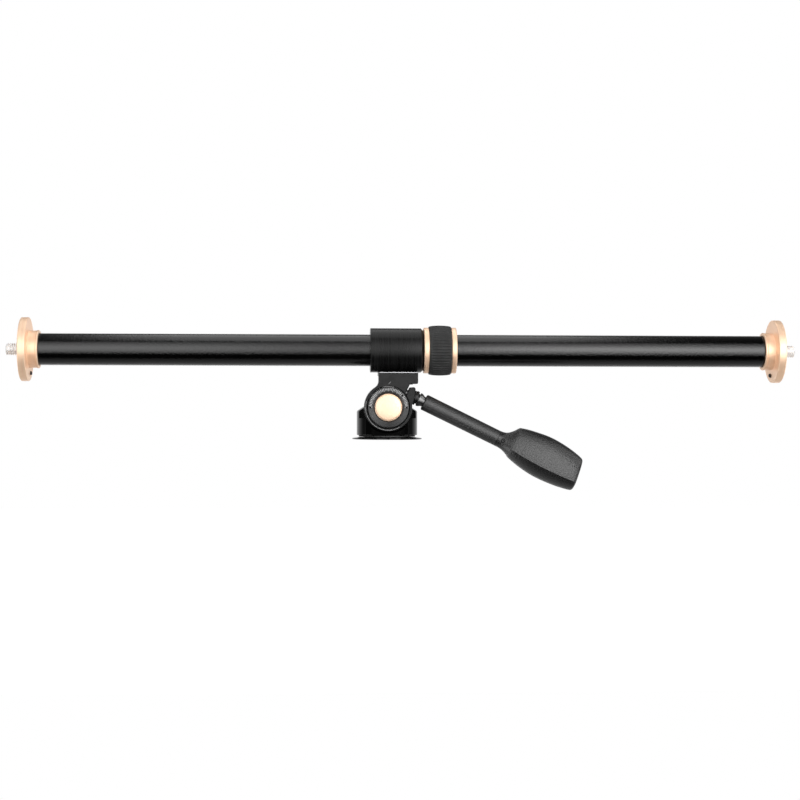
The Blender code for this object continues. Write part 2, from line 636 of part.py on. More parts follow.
def make_collar(collar_axis):
    edge = 0.6 * MM
    groove = COLLAR_RADIUS - COLLAR_GROOVE
    thread = SPIGOT_RADIUS + GAP
    outer = TUBE_RADIUS + GAP + BUSH_WALL
    cone_low = SPIGOT_END + 2 * GAP
    cone_high = COLLAR_RIGHT - COLLAR_NOSE - GAP
    rim_left = COLLAR_LEFT + COLLAR_RIM
    rim_right = COLLAR_RIGHT - COLLAR_RIM
    outline = [
        (COLLAR_RADIUS - edge, COLLAR_RIGHT), (COLLAR_RADIUS, COLLAR_RIGHT - edge),
        (COLLAR_RADIUS, rim_right), (groove, rim_right), (groove, rim_left), (COLLAR_RADIUS, rim_left),
        (COLLAR_RADIUS, COLLAR_LEFT + edge), (COLLAR_RADIUS - edge, COLLAR_LEFT), (thread, COLLAR_LEFT),
        (thread, cone_low), (outer + 2 * GAP, cone_low), (outer - COLLET_TAPER + 2.5 * GAP, cone_high),
        (TUBE_RADIUS + GAP, cone_high), (TUBE_RADIUS + GAP, COLLAR_RIGHT)]
    turned("collar_nut", outline, collar_axis, GOLD)
    low = rim_left + GAP
    high = rim_right - GAP
    bore = groove + GAP
    middle = (low + high) / 2
    side = (GRIP_CROWN_RADIUS - GRIP_EDGE_RADIUS) / 2 + GRIP_EDGE_RADIUS
    profile = [
        (bore, low, 0), (GRIP_EDGE_RADIUS, low, 0), (side, low + GRIP_MARGIN, 0),
        (side, low + 1.3 * GRIP_MARGIN, 1), (GRIP_CROWN_RADIUS, middle, 1),
        (side, high - 1.3 * GRIP_MARGIN, 1), (side, high - GRIP_MARGIN, 0), (GRIP_EDGE_RADIUS, high, 0),
        (bore, high, 0)]
    count = 2 * RIB_COUNT
    rings = []
    for radius, height, ribbed in profile:
        ring = []
        for k, (x, y, z) in enumerate(circle(1, height, count)):
            reach = radius - ribbed * RIB_DEPTH * (k % 2)
            ring.append((reach * x, reach * y, z))
        rings.append(ring)
    loft("collar_grip", rings, collar_axis, RUBBER, loop=True)


def stud_outline():
    """Threads as turned grooves outside the plate, a plain shank inside."""
    root = STUD_RADIUS - THREAD_DEPTH
    points = [(0, STUD_REACH), (root, STUD_REACH)]
    top = STUD_REACH - 0.4 * THREAD_PITCH
    while top > THREAD_PITCH:
        points += [(STUD_RADIUS, top - 0.1 * THREAD_PITCH), (STUD_RADIUS, top - 0.35 * THREAD_PITCH),
                   (root, top - 0.8 * THREAD_PITCH)]
        top -= THREAD_PITCH
    points += [(STUD_RADIUS, top - 0.1 * THREAD_PITCH), (STUD_RADIUS, -STUD_SHANK), (0, -STUD_SHANK)]
    return points


def make_end(side, face, rotation, column_axis):
    """One end of the column; its own Z points out of the end face."""
    end = make_axis("end_" + side, (0, 0, face), rotation, column_axis)
    edge = 0.6 * MM
    neck_end = -FLANGE_THICKNESS - PLATE_NECK_LENGTH
    lip_radius = PLATE_NECK_RADIUS + PLATE_LIP
    stud_bore = STUD_RADIUS + GAP
    tube_bore = TUBE_RADIUS + GAP
    outline = [
        (FLANGE_RADIUS - edge, 0), (FLANGE_RADIUS, -edge), (FLANGE_RADIUS, edge - FLANGE_THICKNESS),
        (FLANGE_RADIUS - edge, -FLANGE_THICKNESS), (PLATE_NECK_RADIUS + edge, -FLANGE_THICKNESS),
        (PLATE_NECK_RADIUS, -FLANGE_THICKNESS - edge), (PLATE_NECK_RADIUS, neck_end + PLATE_LIP_WIDTH),
        (lip_radius, neck_end + PLATE_LIP_WIDTH - PLATE_LIP), (lip_radius, neck_end + PLATE_LIP),
        (PLATE_NECK_RADIUS, neck_end), (tube_bore, neck_end), (tube_bore, -PLATE_WEB),
        (stud_bore, -PLATE_WEB), (stud_bore, 0)]
    end_plate = turned("end_plate_" + side, outline, end, GOLD)
    screws = spots(FLANGE_RADIUS - LOCK_SCREW_INSET, LOCK_SCREW_COUNT, LOCK_SCREW_TURN[side])
    cut(end_plate, rods("lock_holes_" + side, screws, LOCK_SCREW_RADIUS + GAP, -2 * FLANGE_THICKNESS,
                        FLANGE_THICKNESS, end))
    each_rod("lock_screw_" + side, screws, LOCK_SCREW_RADIUS, -FLANGE_THICKNESS - LOCK_SCREW_PROUD,
             -edge, end, DARK_STEEL, steps=TINY_ROUND)
    plug = ring_outline(stud_bore, INNER_RADIUS - GAP, -TUBE_END_INSET - PLUG_LENGTH, -TUBE_END_INSET)
    turned("end_plug_" + side, plug, end, ALUMINIUM, steps=MEDIUM_ROUND)
    turned("stud_" + side, stud_outline(), end, STEEL, steps=SMALL_ROUND)


def make_column(column_axis):
    tube = ring_outline(INNER_RADIUS, TUBE_RADIUS, LEFT_FACE + TUBE_END_INSET, RIGHT_FACE - TUBE_END_INSET)
    turned("column_tube", tube, column_axis, TUBE_BLACK)
    make_end("right", RIGHT_FACE, (0, 0, 0), column_axis)
    make_end("left", LEFT_FACE, TURNED_OVER, column_axis)


def oval(height, above, below, width, lean):
    """A rounded section across the handle; the handle's own X points down."""
    ring = []
    for k in range(GRIP_POINTS):
        angle = 2 * pi * k / GRIP_POINTS
        x = copysign(abs(cos(angle)) ** GRIP_SQUARENESS, cos(angle))
        y = copysign(abs(sin(angle)) ** GRIP_SQUARENESS, sin(angle))
        down = x * (below if x > 0 else above)
        ring.append((down, y * width, height + lean * down))
    return ring


def make_handle(clamp_axis):
    hole = CLAMP_SCREW_RADIUS + GAP
    rods("clamp_screw", [(0, 0)], CLAMP_SCREW_RADIUS, CLAMP_SCREW_TIP, CLAMP_SCREW_END, clamp_axis,
         GREY_STEEL)
    washer_low = EAR_BOSS_END + GAP
    washer_high = washer_low + WASHER_THICKNESS
    hub_end = TAPER_START - GAP
    washer = [
        (WASHER_HUB_RADIUS, hub_end), (WASHER_HUB_RADIUS, washer_high), (WASHER_RADIUS, washer_high),
        (WASHER_RADIUS, washer_low), (hole, washer_low), (hole, hub_end)]
    turned("thrust_washer", washer, clamp_axis, DARK_STEEL, steps=BOLT_ROUND)
    taper_end = TAPER_START + TAPER_LENGTH
    neck_end = ROD_START - GAP
    taper = [(TAPER_NARROW, neck_end), (TAPER_NARROW, taper_end), (TAPER_WIDE, TAPER_START),
             (hole, TAPER_START), (hole, neck_end)]
    turned("taper_collar", taper, clamp_axis, GREY_STEEL, steps=BOLT_ROUND)
    rod_end = ROD_START + ROD_LENGTH
    edge = 0.8 * MM
    rod_outline = [
        (0, rod_end + TENON_LENGTH), (TENON_RADIUS, rod_end + TENON_LENGTH), (TENON_RADIUS, rod_end),
        (ROD_END_RADIUS, rod_end), (ROD_RADIUS, ROD_START + edge), (ROD_RADIUS - edge, ROD_START),
        (hole, ROD_START), (hole, CLAMP_SCREW_END + GAP), (0, CLAMP_SCREW_END + GAP)]
    rod = turned("handle_rod", rod_outline, clamp_axis, TEXTURED_BLACK, steps=MEDIUM_ROUND)
    grip_length = GRIP_SECTIONS[-1][0]
    rings = [oval(rod_end + place * MM, above * MM, below * MM, width * MM,
                  GRIP_END_LEAN * (place / grip_length) ** 4)
             for place, above, below, width in GRIP_SECTIONS]
    grip = loft("handle_grip", rings, clamp_axis, TEXTURED_BLACK)
    cut(grip, rods("tenon_bore", [(0, 0)], TENON_RADIUS + GAP, rod_end - OVERSHOOT,
                   rod_end + TENON_LENGTH + GAP, clamp_axis))
    screw_place = rod_end + GRIP_SCREW_PLACE
    screw_axis = make_axis("grip_screw_axis", (0, 0, screw_place), FACING_FRONT, clamp_axis)
    hole_low = TENON_RADIUS - GRIP_SCREW_BITE
    skin = GRIP_SECTIONS[1][3] * MM
    pocket = rods("grip_screw_hole", [(0, 0)], GRIP_SCREW_RADIUS + GAP, hole_low - GAP, 2 * skin, screw_axis)
    cut(grip, pocket)
    cut(rod, pocket)
    rods("grip_screw", [(0, 0)], GRIP_SCREW_RADIUS, hole_low, skin - GAP, screw_axis, STEEL)


clear_scene()
PARTS = make_collection("tripod_extension_arm")
CUTTERS = make_collection("cutters")
GLOSS_BLACK = make_material("gloss_black", (0.012, 0.012, 0.013), 0.2, 0.0)
SATIN_BLACK = make_material("satin_black", (0.03, 0.03, 0.032), 0.45, 0.3)
TUBE_BLACK = make_material("tube_black", (0.012, 0.012, 0.013), 0.15, 0.2)
CAST_GREY = make_material("cast_grey", (0.09, 0.09, 0.095), 0.55, 0.4)
TEXTURED_BLACK = make_material("textured_black", (0.025, 0.027, 0.028), 0.65, 0.0)
RUBBER = make_material("rubber", (0.035, 0.035, 0.035), 0.7, 0.0)
GOLD = make_material("gold_anodised", (0.85, 0.6, 0.4), 0.3, 0.9)
STEEL = make_material("bright_steel", (0.75, 0.75, 0.74), 0.25, 1.0)
GREY_STEEL = make_material("grey_steel", (0.3, 0.3, 0.3), 0.3, 1.0)
DARK_STEEL = make_material("dark_steel", (0.08, 0.08, 0.08), 0.35, 0.9)
ALUMINIUM = make_material("aluminium", (0.6, 0.6, 0.62), 0.4, 0.9)
NYLON = make_material("nylon", (0.02, 0.02, 0.02), 0.5, 0.0)

pan = make_axis("pan_axis", (0, 0, 0))
tilt = make_axis("tilt_axis", (0, 0, TILT_HEIGHT), parent=pan)
tilt_front = make_axis("tilt_front", (0, 0, TILT_HEIGHT), FACING_FRONT, pan)
column = make_axis("column_axis", (0, COLUMN_DEPTH, COLUMN_RISE), FACING_RIGHT, tilt)
collar = make_axis("collar_axis", (0, COLUMN_DEPTH, COLUMN_RISE), FACING_RIGHT, tilt)
foot_x, foot_z = clamp_point(0, HANDLE_OFFSET)
clamp = make_axis("clamp_axis", (foot_x, -HANDLE_DEPTH, foot_z), (0, radians(90) + HANDLE_SLOPE, 0), tilt)
pan_lock = make_axis("pan_lock_axis", (0, BASE_RADIUS, PAN_LOCK_HEIGHT), FACING_BACK, pan)

make_foot(pan)
base = make_base_body(pan, tilt_front)
make_drum(tilt_front)
make_pan_lock(base, pan_lock)
screw_places, screw_holes, screw_levels = make_yoke(tilt, clamp, column)
make_sleeve(tilt, column, screw_places, screw_holes, screw_levels)
make_guides(column)
make_collar(collar)
make_column(column)
make_handle(clamp)
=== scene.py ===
"""Looks of the tripod extension arm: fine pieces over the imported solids, materials, light and camera.

Metres, in the row frame of the solids. Each turned piece is a half outline of (radius, height) or
(radius, height, rounding) spun about its own Z, and stands on one of the named axes below.
"""
import json
from math import atan2, cos, pi, radians, sin, sqrt

import bmesh
import bpy
from mathutils import Matrix, Vector


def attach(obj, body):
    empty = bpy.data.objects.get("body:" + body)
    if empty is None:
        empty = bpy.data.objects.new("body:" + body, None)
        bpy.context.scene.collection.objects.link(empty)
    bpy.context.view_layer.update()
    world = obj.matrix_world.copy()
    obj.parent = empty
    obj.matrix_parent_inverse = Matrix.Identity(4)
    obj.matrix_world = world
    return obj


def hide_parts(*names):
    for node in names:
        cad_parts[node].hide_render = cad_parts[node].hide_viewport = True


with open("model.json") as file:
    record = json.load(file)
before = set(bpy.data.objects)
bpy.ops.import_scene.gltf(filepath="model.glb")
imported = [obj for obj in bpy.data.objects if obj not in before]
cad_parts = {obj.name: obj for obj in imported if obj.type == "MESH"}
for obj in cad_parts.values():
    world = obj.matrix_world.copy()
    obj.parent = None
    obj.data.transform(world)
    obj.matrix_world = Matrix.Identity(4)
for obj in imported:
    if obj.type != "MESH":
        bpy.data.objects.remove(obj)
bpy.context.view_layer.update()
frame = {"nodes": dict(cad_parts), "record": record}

MM = 0.001
GAP = 0.3 * MM
WHITE = (1, 1, 1, 1)

# Edge roundings that several pieces share
FINE_EDGE = 0.2 * MM
THIN_EDGE = 0.25 * MM
SMALL_EDGE = 0.3 * MM
PLAIN_EDGE = 0.4 * MM
SOFT_EDGE = 0.5 * MM

# Points round a circle, and steps in a rounded corner
FINE = 128
MEDIUM = 64
SMALL = 32
ARC_STEPS = 4

# Column, end plates and studs
TUBE_RADIUS = 12.5 * MM
TUBE_WALL = 1.5 * MM
LEFT_FACE = -286.6 * MM
RIGHT_FACE = 313.4 * MM
TUBE_END_INSET = 4 * MM
FLANGE_RADIUS = 25 * MM
FLANGE_THICKNESS = 6 * MM
FLANGE_EDGE = 0.8 * MM
FLANGE_BACK_EDGE = 0.7 * MM
PLATE_NECK_RADIUS = 14.6 * MM
PLATE_NECK_LENGTH = 8 * MM
PLATE_FILLET = 0.6 * MM
PLATE_LIP = 0.4 * MM
PLATE_LIP_START = 1.9 * MM
PLATE_LIP_HIGH = 1.4 * MM
PLATE_LIP_LOW = 0.4 * MM
PLATE_END_FALL = 0.1 * MM
PLATE_END_EDGE = 0.15 * MM
PLATE_WEB = 3.7 * MM
STUD_RADIUS = 4.76 * MM
STUD_REACH = 12 * MM
STUD_SHANK = 21.7 * MM
STUD_TIP = 0.6 * MM
STUD_TIP_TAPER = 1.2 * MM
STUD_RELIEF = 0.4 * MM
STUD_THREAD_START = 0.6 * MM
THREAD_PITCH = 1.5875 * MM
THREAD_DEPTH = 0.75 * MM
THREAD_CREST = 0.12
THREAD_FLANK = 0.7
THREAD_ROWS = 12
LOCK_SCREW_RADIUS = 1.5 * MM
LOCK_SCREW_RING = 19.4 * MM
LOCK_SCREW_TIP = 0.6 * MM
LOCK_SCREW_PROUD = 1.3 * MM
LOCK_SCREW_SOCKET = 0.75 * MM
LOCK_SCREW_TURN = {"left": radians(-16), "right": radians(10)}
SOCKET_DEPTH = 1 * MM

# Sleeve and collar, measured along the column from the tilt axis
COLUMN_RISE = 45 * MM
COLUMN_DEPTH = -9 * MM
SLEEVE_RADIUS = 17.5 * MM
SLEEVE_LEFT = -13.8 * MM
SLEEVE_RIGHT = 28 * MM
SLEEVE_EDGE = 0.35 * MM
SLEEVE_CONE = 1.9 * MM
SLEEVE_LIP = 1.3 * MM
SLEEVE_LIP_GAP = 1.3 * GAP
SLEEVE_BORE = 14.5 * MM
SPIGOT_RADIUS = 15.5 * MM
SPIGOT_END = 43 * MM
SPIGOT_STEP = 0.1 * MM
COLLAR_RADIUS = 18.1 * MM
COLLAR_LEFT = 28.3 * MM
COLLAR_RIGHT = 54 * MM
COLLAR_EDGE = 0.7 * MM
COLLAR_RIM = 3.8 * MM
COLLAR_GROOVE = 1.2 * MM
COLLAR_NOSE = 1.4 * MM
GRIP_CROWN_RADIUS = 19.8 * MM
GRIP_EDGE_RADIUS = 19 * MM
GRIP_EDGE_START = 0.3 * MM
GRIP_EDGE_CHAMFER = 0.5 * MM
GRIP_PLAIN_END = 1.5 * MM
GRIP_PLAIN_FALL = 0.1 * MM
GRIP_RIB_START = 2.1 * MM
GRIP_CROWN_STEPS = 8
RIB_COUNT = 50
RIB_DEPTH = 0.45 * MM
# Share of the depth at the points across one rib
RIB_NOTCH = (0, 0, 0, 0.5, 1, 1, 1, 0.5, 0, 0)

# Foot and panning base
FOOT_RADIUS = 27.7 * MM
FOOT_THICKNESS = 1.8 * MM
FOOT_RIM = 0.9 * MM
FOOT_SLOPE = 3.5 * MM
FOOT_CREST_EDGE = 1 * MM
HUB_RADIUS = 7.4 * MM
HUB_HEIGHT = 16.5 * MM
HUB_FILLET = 0.7 * MM
HUB_GROOVE_RADIUS = 6 * MM
HUB_GROOVE_LOW = 11.2 * MM
HUB_GROOVE_HIGH = 15.4 * MM
INSERT_RADIUS = 5.6 * MM
INSERT_BORE = 4.9 * MM
INSERT_DEPTH = 9.4 * MM
BASE_RADIUS = 24.1 * MM
BASE_BOTTOM = 3.2 * MM
BASE_SHOULDER = 22.4 * MM
BASE_SHOULDER_EDGE = 1.2 * MM
BASE_CROWN_RADIUS = 17.2 * MM
BASE_CROWN_HEIGHT = 26.9 * MM
BASE_CROWN_EDGE = 0.8 * MM
BASE_FRONT = 20.3 * MM
RECESS_RADIUS = 19.3 * MM
RECESS_CHAMFER = 1.2 * MM
BARREL_RADIUS = 16.5 * MM
BARREL_BACK = 12 * MM
BARREL_EDGE = 1.6 * MM
BARREL_OVERLAP = 2 * MM
FRONT_WALL_TOP = 16.7 * MM
PAN_LOCK_HEIGHT = 13.3 * MM
PAN_KNOB_RADIUS = 7.5 * MM
PAN_KNOB_LOBES = 10
PAN_KNOB_LOBE_STEPS = 12
PAN_KNOB_FLUTE = 0.06
# The flutes run where the knob is wider than this share of its radius
PAN_KNOB_FLUTE_START = 0.7
# Share of the knob's radius, height in millimetres
PAN_KNOB_PROFILE = [(0, 0.3), (0.8, 0.3), (0.94, 0.6), (1, 1.4), (1, 11), (0.96, 12), (0.86, 12.6),
                    (0.6, 12.8), (0.52, 12.2), (0, 12.1)]

# Tilt axis, drum and dial; depths are distances in front of the pan axis
TILT_HEIGHT = 25.3 * MM
WALL_DEPTH = 8.5 * MM
DRUM_RADIUS = 16.2 * MM
DRUM_FRONT = 21.7 * MM
DIAL_RADIUS = 16 * MM
DIAL_BACK = 22 * MM
DIAL_FRONT = 26.2 * MM
DIAL_POCKET = 24.6 * MM
DIAL_EDGE = 0.6 * MM
DIAL_CONE_DEPTH = 0.9 * MM
DIAL_CONE_WIDTH = 1.4 * MM
CAP_RADIUS = 10.75 * MM
CAP_FRONT = 27.1 * MM
# Share of the cap's radius, and the fall of its dome there
CAP_DOME = [(0, 0), (0.3, 0.05 * MM), (0.6, 0.25 * MM), (0.85, 0.6 * MM)]
CAP_CHAMFER_WIDTH = 0.3 * MM
CAP_CHAMFER_TOP = 0.95 * MM
CAP_CHAMFER_LOW = 1.3 * MM

# Yoke: clamp ring, ear, neck and saddle
YOKE_FRONT = 25 * MM
YOKE_BACK = 8.8 * MM
YOKE_EDGE = 0.6 * MM
RING_RADIUS = 18.7 * MM
RING_BORE = 16.6 * MM
NECK_LEFT = -7.4 * MM
NECK_RIGHT = 23.3 * MM
NECK_FILLET = 6 * MM
NECK_TOP = 27.8 * MM
NECK_SHOULDER = 18.5 * MM
NECK_CHAMFER = 0.4 * MM
FILLET_STEPS = 10
RING_STEPS = 80
BORE_STEPS = 110
SLOT_START = 7.2 * MM
SLOT_WIDTH = 1.3 * MM
SLOT_TOP = 24 * MM
EAR_FOOT = radians(5.8)
# Corners of the ear in millimetres along and across the clamp screw
EAR_SHAPE = [(15.9, 11.8), (13, 21.9), (12.3, 22.9), (11.1, 23.1)]
EAR_TIP = 21.6 * MM
EAR_BOSS_RADIUS = 5.2 * MM
EAR_BOSS_START = 10.5 * MM
EAR_BOSS_END = 14.9 * MM
SHELF_INSET = 0.2 * MM
SHELF_OVERLAP = 1.2 * MM
SHELF_DEPTH = 2.9 * MM
GUSSET_LEFT = 3 * MM
GUSSET_RIGHT = 20 * MM
GUSSET_BACK = 5 * MM
GUSSET_OVERLAP = 0.9 * MM
GUSSET_INSET = 0.6 * MM
INDEX_WIDTH = 0.48 * MM
INDEX_HEIGHT = 1.9 * MM
INDEX_LEAN = 1.9 * MM
INDEX_OVERLAP = 0.5 * MM
# Painted highlight strips along the saddle's front edge and the ring's rim
SADDLE_FALL = 0.62 * MM
SADDLE_HEIGHT = 0.36 * MM
SADDLE_DEPTH = 0.5 * MM
SADDLE_PROUD = 0.02 * MM
SADDLE_INSET = 0.3 * MM
RIM_INSET = 0.7 * MM
RIM_WIDTH = 0.3 * MM
RIM_DEPTH = 0.5 * MM
RIM_START = radians(165)
RIM_END = radians(300)
RIM_STEPS = 50

# Clamp screw and handle, measured along the handle from the point nearest the tilt axis
HANDLE_SLOPE = radians(26.1)
HANDLE_OFFSET = 16.3 * MM
HANDLE_DEPTH = 16.9 * MM
CLAMP_SCREW_RADIUS = 2.8 * MM
CLAMP_SCREW_TIP = -2.5 * MM
CLAMP_SCREW_END = 36 * MM
WASHER_RADIUS = 5.7 * MM
WASHER_LOW = 15.2 * MM
WASHER_HIGH = 17.4 * MM
WASHER_HUB_RADIUS = 4.3 * MM
TAPER_START = 18.6 * MM
TAPER_END = 22.5 * MM
TAPER_WIDE = 5.4 * MM
TAPER_NARROW = 4.1 * MM
TAPER_RIM = 1.4 * MM
ROD_START = 23.5 * MM
ROD_END = 88 * MM
ROD_RADIUS = 6.45 * MM
ROD_END_RADIUS = 6.25 * MM
# The rod's rounded start: how far along it, how far inside its radius
ROD_START_CURVE = [(1 * MM, 0), (0.35 * MM, 0.25 * MM), (0, 0.8 * MM)]
ROD_SEAM_START = 2 * MM
ROD_SEAM_ANGLE = radians(33)
ROD_SEAM_WIDTH = radians(4)
ROD_SEAM_HEIGHT = 0.22 * MM
TENON_RADIUS = 4 * MM
TENON_LENGTH = 30 * MM
GRIP_SCREW_PLACE = 4.5 * MM
GRIP_SCREW_RADIUS = 1.3 * MM
GRIP_SCREW_TIP = 2 * MM
GRIP_SCREW_FACE = 6.3 * MM
GRIP_SCREW_SOCKET = 0.65 * MM
# In millimetres: distance from the rod's end, half heights above and below the axis, half width; squareness
GRIP_SECTIONS = [
    (0.3, 6.3, 6.3, 6.4, 0.0), (3.5, 6.7, 6.3, 6.6, 0.0), (6.5, 8.1, 6.7, 7.5, 0.1),
    (9.5, 10.9, 7.7, 8.9, 0.35), (12.0, 14.2, 8.8, 10.2, 0.7), (12.6, 14.7, 9.1, 10.4, 0.8),
    (13.4, 15.4, 9.8, 11.1, 1.0), (19, 16.9, 11.5, 11.8, 1.0), (27, 18.2, 13.2, 12.4, 1.0),
    (36.5, 19.3, 14.4, 12.7, 1.0), (46, 19.2, 14.5, 12.6, 1.0), (56, 18.1, 13.8, 12.1, 1.0),
    (64, 16.6, 12.6, 11.4, 1.0), (68, 15.5, 11.7, 10.8, 1.0), (69.4, 14.8, 11.0, 10.1, 1.0),
    (69.9, 14.1, 10.3, 9.4, 1.0)]
GRIP_SECTION_STEPS = 4
# The grip's end leans by this slope, which fades along the grip by this power
GRIP_END_LEAN = 0.11
GRIP_LEAN_POWER = 4
# Half of a grip section from top to bottom: share of the height, share of the width
GRIP_TOP_CURVE = [(-1, 0), (-0.98, 0.25), (-0.92, 0.46), (-0.8, 0.63), (-0.6, 0.78), (-0.36, 0.885),
                  (-0.12, 0.95), (0.12, 0.985), (0.36, 1)]
GRIP_LOW_CURVE = [(0.36, 1), (0.52, 0.9), (0.68, 0.76), (0.83, 0.55), (0.94, 0.3), (1, 0)]
GRIP_CURVE_STEPS = 5

# Dial marks, angles from the dial's top
TICK_COUNT = 37
TICK_STEP = radians(5)
TICK_INNER = 13.3 * MM
TICK_OUTER = 15.2 * MM
LONG_TICK_INNER = 12.7 * MM
LONG_TICK_EVERY = 3
TICK_WIDTH = 0.42 * MM
TICK_PROUD = 0.04 * MM
DOT_ANGLES = (radians(-90), radians(90), radians(49))
DOT_REACH = 14.2 * MM
DOT_RADIUS = 0.8 * MM

# Photo: 800 x 800 pixels, camera level with the base
PHOTO_SIZE = 800
FOCAL_PIXELS = 1771
SENSOR_WIDTH = 36
CLIP_START = 0.05
CAMERA_PLACE = (-0.06344, -1.40807, 0.0311)
CAMERA_YAW = radians(-3)
CAMERA_ROLL = radians(0.116)

# Floor behind and below the object, and how bright it looks by itself
FLOOR_GLOW = 0.97
FLOOR_HEIGHT = -0.3
FLOOR_START = 0.6
FLOOR_REACH = 4.0
FLOOR_GREY = (0.5, 0.5, 0.5, 1)
FLOOR_ROUGHNESS = 0.9
# Light level of the room by the angle around the column: 0 in front, 90 overhead, -90 below
ROOM_LIGHT = [(-180, 0.2), (-155, 0.5), (-133, 0.65), (-117, 0.45), (-90, 0.3), (-74, 0.2), (-68, 0.003),
              (-33, 0.003), (-28, 0.06), (56, 0.06), (62, 0.03), (100, 0.06), (133, 0.12), (160, 0.14),
              (180, 0.14)]
# The room falls to a side level where a direction leans this far along the column
SIDE_FADE = (0.6, 1.0)
SIDE_LEVEL = 0.3
# The white background fades in with the share by which a direction leans back, and out with its rise
BACKGROUND_EDGE = (0.3, 0.95)
BACKGROUND_RISE = (0.2, 0.5)
LIGHT_DISTANCE = 1.7
LAYER_STEP = 0.01
# Front boxes: edges along X and the levels of their layers, whose low and high edges are the same in each
FRONT_LAYERS = [(-0.85, 2.75), (-0.6, 1.7), (-0.3, 1.1), (0.0, 0.7)]
FRONT_LIGHTS = {
    "left_light": (-1.25, -0.3, (0.85, 0.65, 0.55, 0.5)),
    "middle_light": (-0.3, 0.0, (0.65, 0.5, 0.4, 0.35)),
    "right_light": (0.17, 1.65, (1.0, 0.85, 1.2, 1.2))}
SIDE_LIGHT_DEPTH = -0.3
SIDE_LIGHT_RISES = (-1.0, 1.1)
SIDE_LIGHT_SIZE = (1.6, 1.4)
SIDE_LIGHT_LEVEL = 2.0
TOP_LIGHT_PLACE = (0, 0.27, 1.27)
TOP_LIGHT_SIZE = (0.9, 1.66)
TOP_LIGHT_LEVEL = 1.4

PAN = Matrix.Identity(4)
TILT = Matrix.Translation((0, 0, TILT_HEIGHT))
TILT_FRONT = TILT @ Matrix.Rotation(radians(90), 4, "X")
COLUMN = TILT @ Matrix.Translation((0, COLUMN_DEPTH, COLUMN_RISE)) @ Matrix.Rotation(radians(90), 4, "Y")
CLAMP_PLACE = (HANDLE_OFFSET * sin(HANDLE_SLOPE), -HANDLE_DEPTH, HANDLE_OFFSET * cos(HANDLE_SLOPE))
CLAMP = TILT @ Matrix.Translation(CLAMP_PLACE) @ Matrix.Rotation(radians(90) + HANDLE_SLOPE, 4, "Y")
PAN_LOCK = Matrix.Translation((0, BASE_RADIUS, PAN_LOCK_HEIGHT)) @ Matrix.Rotation(radians(-90), 4, "X")
RIGHT_END = COLUMN @ Matrix.Translation((0, 0, RIGHT_FACE))
LEFT_END = COLUMN @ Matrix.Translation((0, 0, LEFT_FACE)) @ Matrix.Rotation(radians(180), 4, "X")
GRIP_SCREW = (CLAMP @ Matrix.Translation((0, 0, ROD_END + GRIP_SCREW_PLACE))
              @ Matrix.Rotation(radians(90), 4, "X"))


# Shapes

def put(name, data, place):
    """Stand a mesh, a lamp or a camera in the scene."""
    item = bpy.data.objects.new(name, data)
    item.matrix_world = place
    bpy.context.scene.collection.objects.link(item)
    return item


def add_object(name, shape, place):
    bmesh.ops.recalc_face_normals(shape, faces=shape.faces)
    mesh = bpy.data.meshes.new(name)
    shape.to_mesh(mesh)
    shape.free()
    return put(name, mesh, place)


def rounded(outline):
    """Swap each corner that names a rounding for a short arc."""
    points = []
    count = len(outline)
    for index, corner in enumerate(outline):
        here = Vector(corner[:2])
        reach = corner[2] if len(corner) > 2 else 0
        if not reach:
            points.append(here)
            continue
        before = (Vector(outline[index - 1][:2]) - here).normalized()
        after = (Vector(outline[(index + 1) % count][:2]) - here).normalized()
        start = here + before * reach
        end = here + after * reach
        for step in range(ARC_STEPS + 1):
            share = step / ARC_STEPS
            points.append(start.lerp(here, share).lerp(here.lerp(end, share), share))
    return points


def skin(name, rings, place, closed=False):
    """Join rings of equal counts; a ring of one point closes an end, closed joins last to first."""
    shape = bmesh.new()
    rows = [[shape.verts.new(point) for point in ring] for ring in rings]
    pairs = list(zip(rows, rows[1:]))
    if closed:
        pairs.append((rows[-1], rows[0]))
    for first, second in pairs:
        count = max(len(first), len(second))
        for index in range(count):
            after = (index + 1) % count
            if len(first) == 1:
                shape.faces.new((first[0], second[after], second[index]))
            elif len(second) == 1:
                shape.faces.new((first[index], first[after], second[0]))
            else:
                shape.faces.new((first[index], first[after], second[after], second[index]))
    return add_object(name, shape, place)


def turned_ring(reach_at, height, count):
    """Points round Z at one height; reach_at gives their distance from Z at an angle."""
    points = []
    for k in range(count):
        angle = 2 * pi * k / count
        reach = reach_at(angle)
        points.append((reach * cos(angle), reach * sin(angle), height))
    return points


def circle(radius, height, count):
    return turned_ring(lambda angle: radius, height, count)


def spin(name, outline, place, steps=FINE):
    """Turn a half outline round Z; one that starts off the axis is closed on itself."""
    rings = []
    for radius, height in rounded(outline):
        rings.append([(0, 0, height)] if radius < GAP / 100 else circle(radius, height, steps))
    return skin(name, rings, place, closed=outline[0][0] > 0)


def peg(name, radius, low, high, place, steps=SMALL):
    """A plain round cutter along Z."""
    rings = [[(0, 0, high)], circle(radius, high, steps), circle(radius, low, steps), [(0, 0, low)]]
    return skin(name, rings, place)


def extrude(shape, outline, low, high, turn=Matrix.Identity(4)):
    """Give a flat outline height in the shape, and return its two end faces."""
    bottom = [shape.verts.new(turn @ Vector((x, y, low))) for x, y in outline]
    top = [shape.verts.new(turn @ Vector((x, y, high))) for x, y in outline]
    count = len(outline)
    for index in range(count):
        after = (index + 1) % count
        shape.faces.new((bottom[index], bottom[after], top[after], top[index]))
    return [shape.faces.new(bottom), shape.faces.new(top)]


